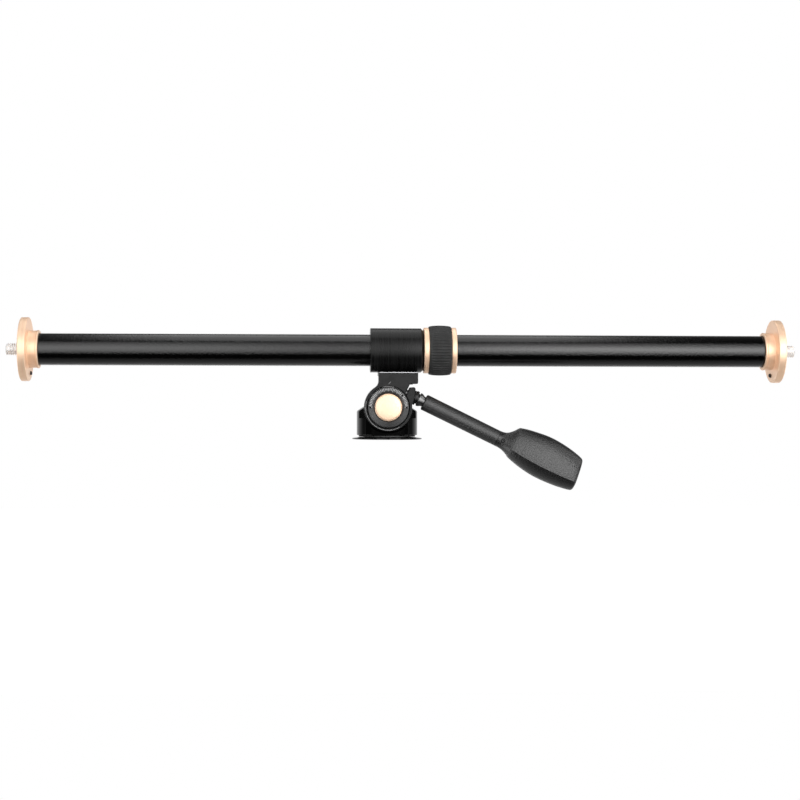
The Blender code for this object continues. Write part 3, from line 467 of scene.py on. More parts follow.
def prism(name, outline, low, high, place, edge=0.0):
    """A flat outline with height, its rim edges rounded."""
    shape = bmesh.new()
    caps = extrude(shape, outline, low, high)
    bmesh.ops.recalc_face_normals(shape, faces=shape.faces)
    if edge:
        rims = list({e for cap in caps for e in cap.edges})
        bmesh.ops.bevel(shape, geom=rims, offset=edge, segments=3, profile=0.5, affect="EDGES",
                        clamp_overlap=True)
    return add_object(name, shape, place)


def rectangle(left, right, low, high):
    return [(left, low), (right, low), (right, high), (left, high)]


def block(name, low, high, place):
    """A box between two opposite corners."""
    return prism(name, rectangle(low[0], high[0], low[1], high[1]), low[2], high[2], place)


def carve(item, tool, operation="DIFFERENCE"):
    """Cut the tool out of the item, or join it on, and drop the tool."""
    boolean = item.modifiers.new("carve", "BOOLEAN")
    boolean.operation = operation
    boolean.solver = "EXACT"
    boolean.object = tool
    bpy.context.view_layer.update()
    evaluated = item.evaluated_get(bpy.context.evaluated_depsgraph_get())
    mesh = bpy.data.meshes.new_from_object(evaluated)
    item.modifiers.clear()
    item.data = mesh
    bpy.data.objects.remove(tool)


def settle(item):
    """Write the piece's place into its mesh, so that a slanted piece has a tight box."""
    item.data.transform(item.matrix_world)
    item.matrix_world = Matrix.Identity(4)
    return item


def arc(centre, radius, start, end, count):
    angles = [start + (end - start) * k / count for k in range(count + 1)]
    return [(centre[0] + radius * cos(angle), centre[1] + radius * sin(angle)) for angle in angles]


def clamp_point(along, across):
    """A point in the yoke's plane, from its distances along and across the clamp screw."""
    return (along * cos(HANDLE_SLOPE) + across * sin(HANDLE_SLOPE),
            across * cos(HANDLE_SLOPE) - along * sin(HANDLE_SLOPE))


def smooth_curve(points, steps):
    """A Catmull-Rom line through points of any number of values."""
    made = []
    last = len(points) - 1
    for index in range(last):
        four = (points[max(index - 1, 0)], points[index], points[index + 1], points[min(index + 2, last)])
        for step in range(steps):
            t = step / steps
            made.append(tuple(
                0.5 * (2 * b + (c - a) * t + (2 * a - 5 * b + 4 * c - d) * t ** 2
                       + (3 * b - a - 3 * c + d) * t ** 3)
                for a, b, c, d in zip(*four)))
    made.append(tuple(points[last]))
    return made


def thread_radius(radius, depth, angle, height):
    """Radius of a right-hand thread: flat crest, sloping flanks, flat root."""
    turn = (height / THREAD_PITCH - angle / (2 * pi)) % 1
    fall = (2 * min(turn, 1 - turn) - THREAD_CREST) / THREAD_FLANK
    return radius - depth * min(max(fall, 0), 1)


def thread_rings(radius, depth, low, high):
    rows = round((high - low) / THREAD_PITCH * THREAD_ROWS)
    rings = []
    for row in range(rows + 1):
        height = low + (high - low) * row / rows
        rings.append(turned_ring(lambda angle: thread_radius(radius, depth, angle, height), height, MEDIUM))
    return rings


def hex_ring(flat, height):
    """A hexagon with as many points as the circles around it."""
    return turned_ring(lambda angle: flat / cos((angle + pi / 6) % (pi / 3) - pi / 6), height, SMALL)


def socket_screw(name, radius, low, high, edge, socket, place):
    """A headless screw with a hexagon socket in its outer face."""
    floor = high - SOCKET_DEPTH
    rings = [[(0, 0, low)], circle(radius, low, SMALL), circle(radius, high - edge, SMALL),
             circle(radius - edge, high, SMALL), hex_ring(socket, high),
             hex_ring(socket, floor), [(0, 0, floor)]]
    return skin(name, rings, place)


# Materials

# Noise values between these two spread over the whole range that a material asks for
NOISE_RANGE = (0.3, 0.7)
CELL_SMOOTHNESS = 0.6
# Places of the two colours among the Mix node's inputs, and of their mix among its outputs
MIX_DARK = 6
MIX_LIGHT = 7
MIX_RESULT = 2


def add_node(tree, kind, values=(), **settings):
    """A node with its settings, and for each named input a number or another node's output."""
    node = tree.nodes.new(kind)
    for name, value in settings.items():
        setattr(node, name, value)
    for name, value in dict(values).items():
        if isinstance(value, bpy.types.NodeSocket):
            tree.links.new(value, node.inputs[name])
        else:
            node.inputs[name].default_value = value
    return node


def calculate(tree, operation, *values):
    return add_node(tree, "ShaderNodeMath", enumerate(values), operation=operation).outputs[0]


def remap(tree, value, low, high, start, end):
    """Turn low to high into start to end, and hold it between them."""
    limits = {"Value": value, "From Min": low, "From Max": high, "To Min": start, "To Max": end}
    return add_node(tree, "ShaderNodeMapRange", limits).outputs["Result"]


class Nodes:
    """A short way to write a material's node tree."""

    def __init__(self, name):
        self.material = bpy.data.materials.new(name)
        self.material.use_nodes = True
        self.tree = self.material.node_tree
        self.shader = self.tree.nodes["Principled BSDF"]
        self.place = add_node(self.tree, "ShaderNodeTexCoord").outputs["Object"]

    def link(self, source, target):
        self.tree.links.new(source, target)

    def noise(self, scale, stretch=(1, 1, 1), detail=3.0, roughness=0.55):
        mapping = add_node(self.tree, "ShaderNodeMapping", {"Vector": self.place, "Scale": stretch})
        place = mapping.outputs["Vector"]
        values = {"Vector": place, "Scale": scale, "Detail": detail, "Roughness": roughness}
        return add_node(self.tree, "ShaderNodeTexNoise", values).outputs["Fac"]

    def cells(self, scale):
        values = {"Vector": self.place, "Scale": scale, "Smoothness": CELL_SMOOTHNESS}
        return add_node(self.tree, "ShaderNodeTexVoronoi", values, feature="SMOOTH_F1").outputs["Distance"]

    def colour(self, value, dark, light):
        share = remap(self.tree, value, *NOISE_RANGE, 0, 1)
        values = {"Factor": share, MIX_DARK: (*dark, 1), MIX_LIGHT: (*light, 1)}
        mix = add_node(self.tree, "ShaderNodeMix", values, data_type="RGBA")
        self.link(mix.outputs[MIX_RESULT], self.shader.inputs["Base Color"])

    def grey(self, value, dark, light):
        self.colour(value, (dark, dark, dark), (light, light, light))

    def rough(self, value, low, high):
        self.link(remap(self.tree, value, *NOISE_RANGE, low, high), self.shader.inputs["Roughness"])

    def bump(self, value, height, strength=1.0):
        """Add a bump, on top of any that the shader has."""
        values = {"Height": value, "Distance": height, "Strength": strength}
        bump = add_node(self.tree, "ShaderNodeBump", values)
        previous = self.shader.inputs["Normal"]
        if previous.is_linked:
            self.link(previous.links[0].from_socket, bump.inputs["Normal"])
        self.link(bump.outputs["Normal"], previous)

    def fixed(self, **values):
        """Set the shader's own sockets, named in lower case."""
        for name, value in values.items():
            socket = name.replace("_", " ").title().replace("Ior", "IOR")
            self.shader.inputs[socket].default_value = value


def gloss_black(made):
    """Polished black of the foot and the base."""
    made.fixed(specular_ior_level=0.5)
    made.grey(made.noise(40), 0.0005, 0.0015)
    made.rough(made.noise(90), 0.03, 0.06)


def tube_black(made):
    """Anodised tube: glossy, with the fine grain that breaks up its reflections."""
    made.fixed(specular_ior_level=0.62)
    made.grey(made.noise(25, (1, 1, 0.2)), 0.0005, 0.0015)
    made.rough(made.noise(1400, detail=2), 0.1, 0.18)
    made.bump(made.noise(700, detail=4), 0.2 * MM, 0.8)


def satin_black(made):
    """Turned sleeve: streaks run round it."""
    made.fixed(specular_ior_level=0.25)
    streaks = made.noise(60, (0.25, 0.25, 14), detail=6, roughness=0.7)
    made.grey(streaks, 0.001, 0.009)
    made.rough(streaks, 0.24, 0.32)
    made.bump(streaks, 0.05 * MM, 0.25)


def cast_grey(made):
    """Die casting under matte paint."""
    made.fixed(specular_ior_level=0.22)
    made.grey(made.noise(120), 0.006, 0.014)
    made.rough(made.noise(500), 0.38, 0.52)
    made.bump(made.noise(1500, detail=4), 0.06 * MM, 0.5)


def textured_black(made):
    """Moulded grip with a fine pebble grain."""
    made.fixed(specular_ior_level=0.7)
    grain = made.noise(1000, detail=3)
    made.grey(grain, 0.004, 0.012)
    made.rough(grain, 0.3, 0.42)
    made.bump(made.cells(1000), 0.2 * MM, 0.8)
    made.bump(made.noise(300), 0.05 * MM, 0.3)


def rod_black(made):
    """Smoother moulded plastic of the handle's rod."""
    made.fixed(specular_ior_level=0.8)
    grain = made.noise(800, detail=3)
    made.grey(grain, 0.006, 0.014)
    made.rough(grain, 0.4, 0.5)
    made.bump(made.cells(1100), 0.15 * MM, 0.7)


def rubber(made):
    """Matte rubber of the collar's grip."""
    made.fixed(specular_ior_level=0.4)
    made.grey(made.noise(200), 0.013, 0.023)
    made.rough(made.noise(600), 0.55, 0.7)
    made.bump(made.noise(2500), 0.03 * MM, 0.4)


def gold_anodised(made):
    """Satin anodised aluminium with faint turning marks."""
    made.fixed(metallic=0.5, specular_ior_level=0.8)
    marks = made.noise(70, (0.3, 0.3, 12), detail=5)
    made.colour(marks, (1.0, 0.66, 0.44), (1.0, 0.72, 0.51))
    made.rough(marks, 0.36, 0.44)
    made.bump(made.noise(1800), 0.01 * MM, 0.25)


def bright_steel(made):
    """Plated steel of the studs, the thread insert and the hidden screws."""
    made.fixed(metallic=0.45)
    made.colour(made.noise(200), (0.88, 0.88, 0.88), (0.96, 0.96, 0.95))
    made.rough(made.noise(900, (1, 1, 4)), 0.2, 0.32)
    made.bump(made.noise(2000), 0.01 * MM, 0.2)


def grey_steel(made):
    """Turned steel of the clamp screw and the taper collar, darker than bare steel: painted shade for the gap
    between the ear and the rod.
    """
    made.fixed(metallic=1.0)
    marks = made.noise(160, (0.3, 0.3, 8), detail=4)
    made.grey(marks, 0.11, 0.24)
    made.rough(marks, 0.25, 0.4)


def dark_steel(made):
    """Blackened steel of the set screws and the thrust washer."""
    made.fixed(metallic=0.8)
    made.grey(made.noise(300), 0.02, 0.045)
    made.rough(made.noise(900), 0.28, 0.4)
    made.bump(made.noise(2000), 0.01 * MM, 0.3)


def aluminium(made):
    """Bare turned aluminium."""
    made.fixed(metallic=1.0)
    marks = made.noise(120, (0.3, 0.3, 10), detail=4)
    made.colour(marks, (0.5, 0.5, 0.52), (0.64, 0.64, 0.66))
    made.rough(marks, 0.3, 0.42)


def nylon(made):
    """Black bearing plastic of the collet, bush and pan washer."""
    made.grey(made.noise(180), 0.012, 0.022)
    made.rough(made.noise(500), 0.45, 0.6)


def dial_black(made):
    """Lathe-turned dial: its rings spread the light outwards from its centre."""
    made.fixed(specular_ior_level=0.7, anisotropic=0.95, anisotropic_rotation=0.25)
    tangent = add_node(made.tree, "ShaderNodeTangent", direction_type="RADIAL", axis="Z")
    made.link(tangent.outputs["Tangent"], made.shader.inputs["Tangent"])
    made.grey(made.noise(120), 0.004, 0.009)
    made.rough(made.noise(500), 0.34, 0.44)


def pale_mark_and_painted_highlight(made):
    """Lighter grey of the index mark, and of the arc painted on the ring's rim as a highlight of its chamfer.
    """
    made.fixed(metallic=0.5)
    made.grey(made.noise(400), 0.16, 0.3)
    made.rough(made.noise(500), 0.35, 0.5)


def dial_ink(made):
    """Grey fill of the scale marks, slightly uneven."""
    made.grey(made.noise(900), 0.4, 0.62)
    made.rough(made.noise(700), 0.5, 0.65)


def look_of(make):
    """Make a material that bears its maker's name."""
    made = Nodes(make.__name__)
    make(made)
    return made.material


LOOKS = {make.__name__: look_of(make) for make in (
    gloss_black, tube_black, satin_black, cast_grey, textured_black, rod_black, rubber, gold_anodised,
    bright_steel, grey_steel, dark_steel, aluminium, nylon, dial_black, pale_mark_and_painted_highlight, dial_ink)}


# Pieces

def dress(item, body, slot, *replaced, look=None, sharp=32, weighted=False):
    """Shade the piece, give it its slot's material or another look, and let it ride its body.

    It stands for the solids named in replaced.
    """
    item.data.materials.clear()
    item.data.materials.append(LOOKS[look or slot])
    item.data.shade_smooth()
    item.data.set_sharp_from_angle(angle=radians(sharp))
    if weighted:
        normals = item.modifiers.new("normals", "WEIGHTED_NORMAL")
        normals.keep_sharp = True
        normals.weight = 100
    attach(item, body)
    if replaced:
        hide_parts(*replaced)


def make_foot():
    bore = INSERT_RADIUS + GAP
    roof = INSERT_DEPTH + GAP
    outline = [
        (0, HUB_HEIGHT), (HUB_RADIUS, HUB_HEIGHT, SOFT_EDGE), (HUB_RADIUS, HUB_GROOVE_HIGH),
        (HUB_GROOVE_RADIUS, HUB_GROOVE_HIGH), (HUB_GROOVE_RADIUS, HUB_GROOVE_LOW),
        (HUB_RADIUS, HUB_GROOVE_LOW), (HUB_RADIUS, FOOT_THICKNESS, HUB_FILLET),
        (FOOT_RADIUS - FOOT_SLOPE, FOOT_THICKNESS, FOOT_CREST_EDGE), (FOOT_RADIUS, FOOT_RIM, THIN_EDGE),
        (FOOT_RADIUS, 0, THIN_EDGE), (bore, 0, SMALL_EDGE), (bore, roof), (0, roof)]
    dress(spin("foot", outline, PAN), "foot", "gloss_black", "foot_plate")
    depth = THREAD_DEPTH / 2
    thread = thread_rings(INSERT_BORE + depth, depth, 0, INSERT_DEPTH)
    sides = [circle(INSERT_RADIUS, INSERT_DEPTH, MEDIUM), circle(INSERT_RADIUS, 0, MEDIUM)]
    insert = skin("tripod_thread_insert", thread + sides, PAN, closed=True)
    dress(insert, "foot", "bright_steel", "thread_insert", sharp=50)


def make_base():
    outline = [
        (0, BASE_CROWN_HEIGHT), (BASE_CROWN_RADIUS, BASE_CROWN_HEIGHT, BASE_CROWN_EDGE),
        (BASE_RADIUS, BASE_SHOULDER, BASE_SHOULDER_EDGE), (BASE_RADIUS, BASE_BOTTOM, SOFT_EDGE),
        (0, BASE_BOTTOM)]
    base = spin("base", outline, PAN)
    barrel_front = WALL_DEPTH + BARREL_OVERLAP
    barrel = [(0, barrel_front), (BARREL_RADIUS, barrel_front), (BARREL_RADIUS, -BARREL_BACK, BARREL_EDGE),
              (0, -BARREL_BACK)]
    carve(base, spin("barrel", barrel, TILT_FRONT), "UNION")
    carve(base, peg("hub_bore", HUB_RADIUS + GAP, 0, HUB_HEIGHT + GAP, PAN, steps=MEDIUM))
    clear = 2 * BASE_RADIUS
    mouth = RECESS_RADIUS + RECESS_CHAMFER
    recess = [(0, clear), (mouth, clear), (mouth, BASE_FRONT), (RECESS_RADIUS, BASE_FRONT - RECESS_CHAMFER),
              (RECESS_RADIUS, WALL_DEPTH), (0, WALL_DEPTH)]
    carve(base, spin("recess", recess, TILT_FRONT))
    carve(base, block("walls", (-clear, -clear, FRONT_WALL_TOP), (clear, -WALL_DEPTH, clear), PAN))
    carve(base, block("front", (-clear, -clear, -clear), (clear, -BASE_FRONT, clear), PAN))
    bevel = base.modifiers.new("edges", "BEVEL")
    bevel.width = THIN_EDGE
    bevel.segments = 2
    bevel.limit_method = "ANGLE"
    bevel.angle_limit = radians(40)
    dress(base, "base", "gloss_black", "base_body", weighted=True)


def knob_ring(share, height):
    """A ring of the fluted knob, at a share of its radius."""
    if share == 0:
        return [(0, 0, height)]
    depth = PAN_KNOB_FLUTE if share > PAN_KNOB_FLUTE_START else 0

    def reach_at(angle):
        return PAN_KNOB_RADIUS * share * (1 + depth * (cos(PAN_KNOB_LOBES * angle) - 1))

    return turned_ring(reach_at, height, PAN_KNOB_LOBES * PAN_KNOB_LOBE_STEPS)


def make_pan_lock():
    """Fluted knob at the back of the base."""
    knob = skin("pan_knob", [knob_ring(share, height * MM) for share, height in PAN_KNOB_PROFILE], PAN_LOCK)
    dress(knob, "pan_knob", "gloss_black", "pan_lock_knob", look="textured_black", sharp=45)


def make_dial():
    """Drum that the clamp ring closes on, the dial on its front, and the cap in the dial."""
    drum_back = WALL_DEPTH + GAP
    drum = [(DRUM_RADIUS, DRUM_FRONT, SMALL_EDGE), (DRUM_RADIUS, drum_back), (CAP_RADIUS, drum_back),
            (CAP_RADIUS, DRUM_FRONT)]
    dress(spin("drum", drum, TILT_FRONT), "base", "aluminium", "tilt_drum")
    pocket = CAP_RADIUS + GAP
    dial = [
        (0, DIAL_POCKET), (pocket, DIAL_POCKET), (pocket, DIAL_FRONT - DIAL_CONE_DEPTH, FINE_EDGE),
        (CAP_RADIUS + DIAL_CONE_WIDTH, DIAL_FRONT, SMALL_EDGE),
        (DIAL_RADIUS, DIAL_FRONT, DIAL_EDGE), (DIAL_RADIUS, DIAL_BACK), (0, DIAL_BACK)]
    dress(spin("dial", dial, TILT_FRONT), "base", "cast_grey", "dial_plate", look="dial_black")
    cap = [(share * CAP_RADIUS, CAP_FRONT - fall) for share, fall in CAP_DOME]
    cap += [
        (CAP_RADIUS - CAP_CHAMFER_WIDTH, CAP_FRONT - CAP_CHAMFER_TOP),
        (CAP_RADIUS, CAP_FRONT - CAP_CHAMFER_LOW, FINE_EDGE),
        (CAP_RADIUS, DIAL_POCKET + GAP), (0, DIAL_POCKET + GAP)]
    dress(spin("cap", cap, TILT_FRONT), "base", "gold_anodised", "dial_cap", sharp=40)


def make_dial_marks():
    """Scale marks over the dial's upper half, and three small dots."""
    shape = bmesh.new()
    low = DIAL_FRONT - TICK_PROUD
    high = DIAL_FRONT + TICK_PROUD
    half = TICK_WIDTH / 2
    for number in range(TICK_COUNT):
        angle = (number - TICK_COUNT // 2) * TICK_STEP
        inner = LONG_TICK_INNER if number % LONG_TICK_EVERY == 0 else TICK_INNER
        extrude(shape, rectangle(-half, half, inner, TICK_OUTER), low, high, Matrix.Rotation(-angle, 4, "Z"))
    dress(add_object("dial_marks", shape, TILT_FRONT), "base", "cast_grey", look="dial_ink")
    outline = [(0, high), (DOT_RADIUS, high), (DOT_RADIUS, low), (0, low)]
    for number, turn in enumerate(DOT_ANGLES, 1):
        spot = TILT_FRONT @ Matrix.Rotation(-turn, 4, "Z") @ Matrix.Translation((0, DOT_REACH, 0))
        dot = spin("dial_dot_%d" % number, outline, spot, SMALL)
        dress(dot, "base", "cast_grey", look="gloss_black")


def yoke_outline():
    """The yoke seen from the front: neck, ring and ear around the split bore, as one closed line."""
    fillet_x = NECK_LEFT - NECK_FILLET
    fillet_z = sqrt((RING_RADIUS + NECK_FILLET) ** 2 - fillet_x ** 2)
    ring_start = atan2(fillet_z, fillet_x)
    points = [(NECK_LEFT, NECK_TOP)]
    points += arc((fillet_x, fillet_z), NECK_FILLET, 0, atan2(-fillet_z, -fillet_x), FILLET_STEPS)
    points += arc((0, 0), RING_RADIUS, ring_start, 2 * pi + EAR_FOOT, RING_STEPS)[1:]
    points += [clamp_point(along * MM, across * MM) for along, across in EAR_SHAPE]
    slot_end = SLOT_START + SLOT_WIDTH
    points.append(clamp_point(slot_end, EAR_TIP))
    lip = clamp_point(slot_end, sqrt(RING_BORE ** 2 - slot_end ** 2))
    other_lip = clamp_point(SLOT_START, sqrt(RING_BORE ** 2 - SLOT_START ** 2))
    bore_end = atan2(other_lip[1], other_lip[0]) - 2 * pi
    points += arc((0, 0), RING_BORE, atan2(lip[1], lip[0]), bore_end, BORE_STEPS)
    points.append(clamp_point(SLOT_START, SLOT_TOP))
    points += [(NECK_RIGHT - NECK_CHAMFER, NECK_SHOULDER), (NECK_RIGHT, NECK_SHOULDER + 3 * NECK_CHAMFER),
               (NECK_RIGHT, NECK_TOP)]
    return points


def make_yoke():
    """The casting: ring, ear and neck, with the shelf and gusset that carry the sleeve in its saddle."""
    yoke = prism("clamp_yoke", yoke_outline(), YOKE_BACK, YOKE_FRONT, TILT_FRONT, edge=YOKE_EDGE)
    shelf_back = 2 * COLUMN_DEPTH + YOKE_FRONT
    shelf_low = (NECK_LEFT + SHELF_INSET, -YOKE_BACK - SHELF_OVERLAP, NECK_TOP - SHELF_DEPTH)
    shelf_high = (NECK_RIGHT - SHELF_INSET, shelf_back, NECK_TOP - SHELF_INSET)
    carve(yoke, block("shelf", shelf_low, shelf_high, TILT), "UNION")
    gusset_low = (GUSSET_LEFT, -YOKE_BACK - GUSSET_OVERLAP, RING_RADIUS - GUSSET_INSET)
    gusset_high = (GUSSET_RIGHT, GUSSET_BACK, NECK_TOP - GUSSET_INSET)
    carve(yoke, block("gusset", gusset_low, gusset_high, TILT), "UNION")
    boss = peg("boss", EAR_BOSS_RADIUS, EAR_BOSS_START, EAR_BOSS_END + GAP, CLAMP, steps=MEDIUM)
    carve(yoke, boss, "UNION")
    seat_end = EAR_BOSS_END + 2 * WASHER_RADIUS
    carve(yoke, peg("seat", WASHER_RADIUS + GAP, EAR_BOSS_END, seat_end, CLAMP, steps=MEDIUM))
    carve(yoke, peg("saddle", SLEEVE_RADIUS + GAP, 2 * SLEEVE_LEFT, 2 * SLEEVE_RIGHT, COLUMN, steps=FINE))
    carve(yoke, peg("screw_way", CLAMP_SCREW_RADIUS + GAP, CLAMP_SCREW_TIP - GAP, seat_end, CLAMP))
    dress(yoke, "yoke", "cast_grey", "yoke", weighted=True)


def make_index_mark():
    """Slanted mark on the neck above the dial."""
    half = INDEX_WIDTH / 2
    low = RING_RADIUS - INDEX_OVERLAP
    high = low + INDEX_HEIGHT
    outline = [(-half, low), (half, low), (INDEX_LEAN + half, high), (INDEX_LEAN - half, high)]
    mark = prism("index_mark", outline, YOKE_FRONT - TICK_PROUD, YOKE_FRONT + TICK_PROUD, TILT_FRONT)
    dress(mark, "yoke", "cast_grey", look="pale_mark_and_painted_highlight")


def make_yoke_edge_highlights():
    """Painted highlights on the casting's edges: the saddle's front edge and the rim of the ring's lower
    left.
    """
    # A bright metal strip along the saddle's front edge: a painted highlight of that edge
    low = NECK_TOP - SADDLE_FALL
    edge_low = (NECK_LEFT + SADDLE_INSET, -YOKE_FRONT - SADDLE_PROUD, low)
    edge_high = (NECK_RIGHT - SADDLE_INSET, SADDLE_DEPTH - YOKE_FRONT, low + SADDLE_HEIGHT)
    dress(block("saddle_edge_highlight", edge_low, edge_high, TILT), "yoke", "cast_grey", look="aluminium")
    # A pale arc on the ring's rim at its lower left: a painted highlight of the chamfer there
    reach = RING_RADIUS - RIM_INSET
    outline = arc((0, 0), reach, RIM_START, RIM_END, RIM_STEPS)
    outline += arc((0, 0), reach - RIM_WIDTH, RIM_END, RIM_START, RIM_STEPS)
    rim = prism("ring_edge_highlight", outline, YOKE_FRONT - RIM_DEPTH, YOKE_FRONT + TICK_PROUD, TILT_FRONT)
    dress(rim, "yoke", "cast_grey", look="pale_mark_and_painted_highlight")


def make_sleeve():
    lip_bore = TUBE_RADIUS + SLEEVE_LIP_GAP
    lip_end = SLEEVE_LEFT + SLEEVE_LIP
    outline = [
        (SPIGOT_RADIUS, SPIGOT_END, SMALL_EDGE), (SPIGOT_RADIUS, SLEEVE_RIGHT),
        (SPIGOT_RADIUS + SPIGOT_STEP, SLEEVE_RIGHT), (SLEEVE_RADIUS, SLEEVE_RIGHT - SLEEVE_CONE, SMALL_EDGE),
        (SLEEVE_RADIUS, SLEEVE_LEFT, SLEEVE_EDGE), (lip_bore, SLEEVE_LEFT, SMALL_EDGE),
        (lip_bore, lip_end), (SLEEVE_BORE, lip_end), (SLEEVE_BORE, SPIGOT_END)]
    dress(spin("slide_sleeve", outline, COLUMN), "yoke", "satin_black", "sleeve")


def grip_band_rows(low, high):
    """Radius, height and ribbing of the rubber band: bevelled plain ends, a low crown between them."""
    middle = (low + high) / 2
    side = (GRIP_CROWN_RADIUS + GRIP_EDGE_RADIUS) / 2
    rise = GRIP_CROWN_RADIUS - side
    start = low + GRIP_RIB_START
    ends = [(GRIP_EDGE_RADIUS - GRIP_EDGE_CHAMFER, low, 0), (GRIP_EDGE_RADIUS, low + GRIP_EDGE_START, 0),
            (side - GRIP_PLAIN_FALL, low + GRIP_PLAIN_END, 0), (side, start, 1)]
    rows = list(ends)
    for step in range(1, GRIP_CROWN_STEPS):
        height = start + step / GRIP_CROWN_STEPS * (high - low - 2 * GRIP_RIB_START)
        rows.append((side + rise * (1 - ((height - middle) / (middle - start)) ** 2), height, 1))
    return rows + [(radius, low + high - height, ribbed) for radius, height, ribbed in reversed(ends)]


def grip_band_ring(radius, height, ribbed):
    steps = RIB_COUNT * len(RIB_NOTCH)

    def reach_at(angle):
        notch = RIB_NOTCH[round(angle / (2 * pi) * steps) % len(RIB_NOTCH)]
        return radius - ribbed * RIB_DEPTH * notch

    return turned_ring(reach_at, height, steps)


def make_collar():
    """Gold nut with a rim at each end, and the ribbed rubber band between the rims."""
    groove = COLLAR_RADIUS - COLLAR_GROOVE
    thread = SPIGOT_RADIUS + GAP
    rim_left = COLLAR_LEFT + COLLAR_RIM
    rim_right = COLLAR_RIGHT - COLLAR_RIM
    bore = TUBE_RADIUS + GAP
    outline = [
        (COLLAR_RADIUS, COLLAR_RIGHT, COLLAR_EDGE), (COLLAR_RADIUS, rim_right, THIN_EDGE),
        (groove, rim_right), (groove, rim_left), (COLLAR_RADIUS, rim_left, THIN_EDGE),
        (COLLAR_RADIUS, COLLAR_LEFT, COLLAR_EDGE), (thread, COLLAR_LEFT), (thread, SPIGOT_END + 2 * GAP),
        (bore, COLLAR_RIGHT - COLLAR_NOSE - GAP), (bore, COLLAR_RIGHT, PLAIN_EDGE)]
    dress(spin("twist_collar", outline, COLUMN), "collar", "gold_anodised", "collar_nut")
    low = rim_left + GAP
    high = rim_right - GAP
    rows = [(groove + GAP, low, 0)] + grip_band_rows(low, high) + [(groove + GAP, high, 0)]
    grip = skin("ribbed_grip", [grip_band_ring(*row) for row in rows], COLUMN, closed=True)
    dress(grip, "collar", "rubber", "collar_grip", sharp=40)


def make_end_plate(side, end, screw_place):
    neck_end = -FLANGE_THICKNESS - PLATE_NECK_LENGTH
    lip = PLATE_NECK_RADIUS + PLATE_LIP
    tube_bore = TUBE_RADIUS + GAP
    stud_bore = STUD_RADIUS + GAP
    outline = [
        (FLANGE_RADIUS, 0, FLANGE_EDGE), (FLANGE_RADIUS, -FLANGE_THICKNESS, FLANGE_BACK_EDGE),
        (PLATE_NECK_RADIUS, -FLANGE_THICKNESS, PLATE_FILLET),
        (PLATE_NECK_RADIUS, neck_end + PLATE_LIP_START, FINE_EDGE),
        (lip, neck_end + PLATE_LIP_HIGH, FINE_EDGE), (lip, neck_end + PLATE_LIP_LOW, FINE_EDGE),
        (PLATE_NECK_RADIUS - PLATE_END_FALL, neck_end, PLATE_END_EDGE), (tube_bore, neck_end, FINE_EDGE),
        (tube_bore, -PLATE_WEB), (stud_bore, -PLATE_WEB), (stud_bore, 0, PLAIN_EDGE)]
    plate = spin("end_plate_" + side + "_disc", outline, end)
    hole_radius = LOCK_SCREW_RADIUS + GAP
    carve(plate, peg("hole", hole_radius, -2 * FLANGE_THICKNESS, FLANGE_THICKNESS, screw_place))
    dress(plate, "column", "gold_anodised", "end_plate_" + side, weighted=True)


def make_lock_screw(side, place):
    """Socket set screw that stands proud of the plate's inner face."""
    high = FLANGE_THICKNESS + LOCK_SCREW_PROUD
    screw = socket_screw("set_screw_" + side, LOCK_SCREW_RADIUS, LOCK_SCREW_TIP, high, THIN_EDGE,
                         LOCK_SCREW_SOCKET, place @ Matrix.Rotation(radians(180), 4, "X"))
    dress(screw, "column", "dark_steel", "lock_screw_%s_1" % side)


def make_stud(side, end):
    thread = thread_rings(STUD_RADIUS, THREAD_DEPTH, STUD_THREAD_START, STUD_REACH - STUD_TIP)
    rings = [[(0, 0, STUD_REACH)], circle(STUD_RADIUS - STUD_TIP_TAPER, STUD_REACH, MEDIUM)]
    rings += thread[::-1]
    rings += [circle(STUD_RADIUS, STUD_RELIEF, MEDIUM), circle(STUD_RADIUS, -STUD_SHANK, MEDIUM),
              [(0, 0, -STUD_SHANK)]]
    stud = skin("stud_" + side + "_thread", rings, end)
    dress(stud, "column", "bright_steel", "stud_" + side, sharp=50)


def make_column():
    low = LEFT_FACE + TUBE_END_INSET
    high = RIGHT_FACE - TUBE_END_INSET
    inner = TUBE_RADIUS - TUBE_WALL
    outline = [(TUBE_RADIUS, high, SMALL_EDGE), (TUBE_RADIUS, low, SMALL_EDGE), (inner, low), (inner, high)]
    dress(spin("tube", outline, COLUMN), "column", "tube_black", "column_tube")
    for side, end in (("left", LEFT_END), ("right", RIGHT_END)):
        turn = LOCK_SCREW_TURN[side]
        spot = end @ Matrix.Translation((LOCK_SCREW_RING * cos(turn), LOCK_SCREW_RING * sin(turn), 0))
        make_end_plate(side, end, spot)
        make_lock_screw(side, spot)
        make_stud(side, end)


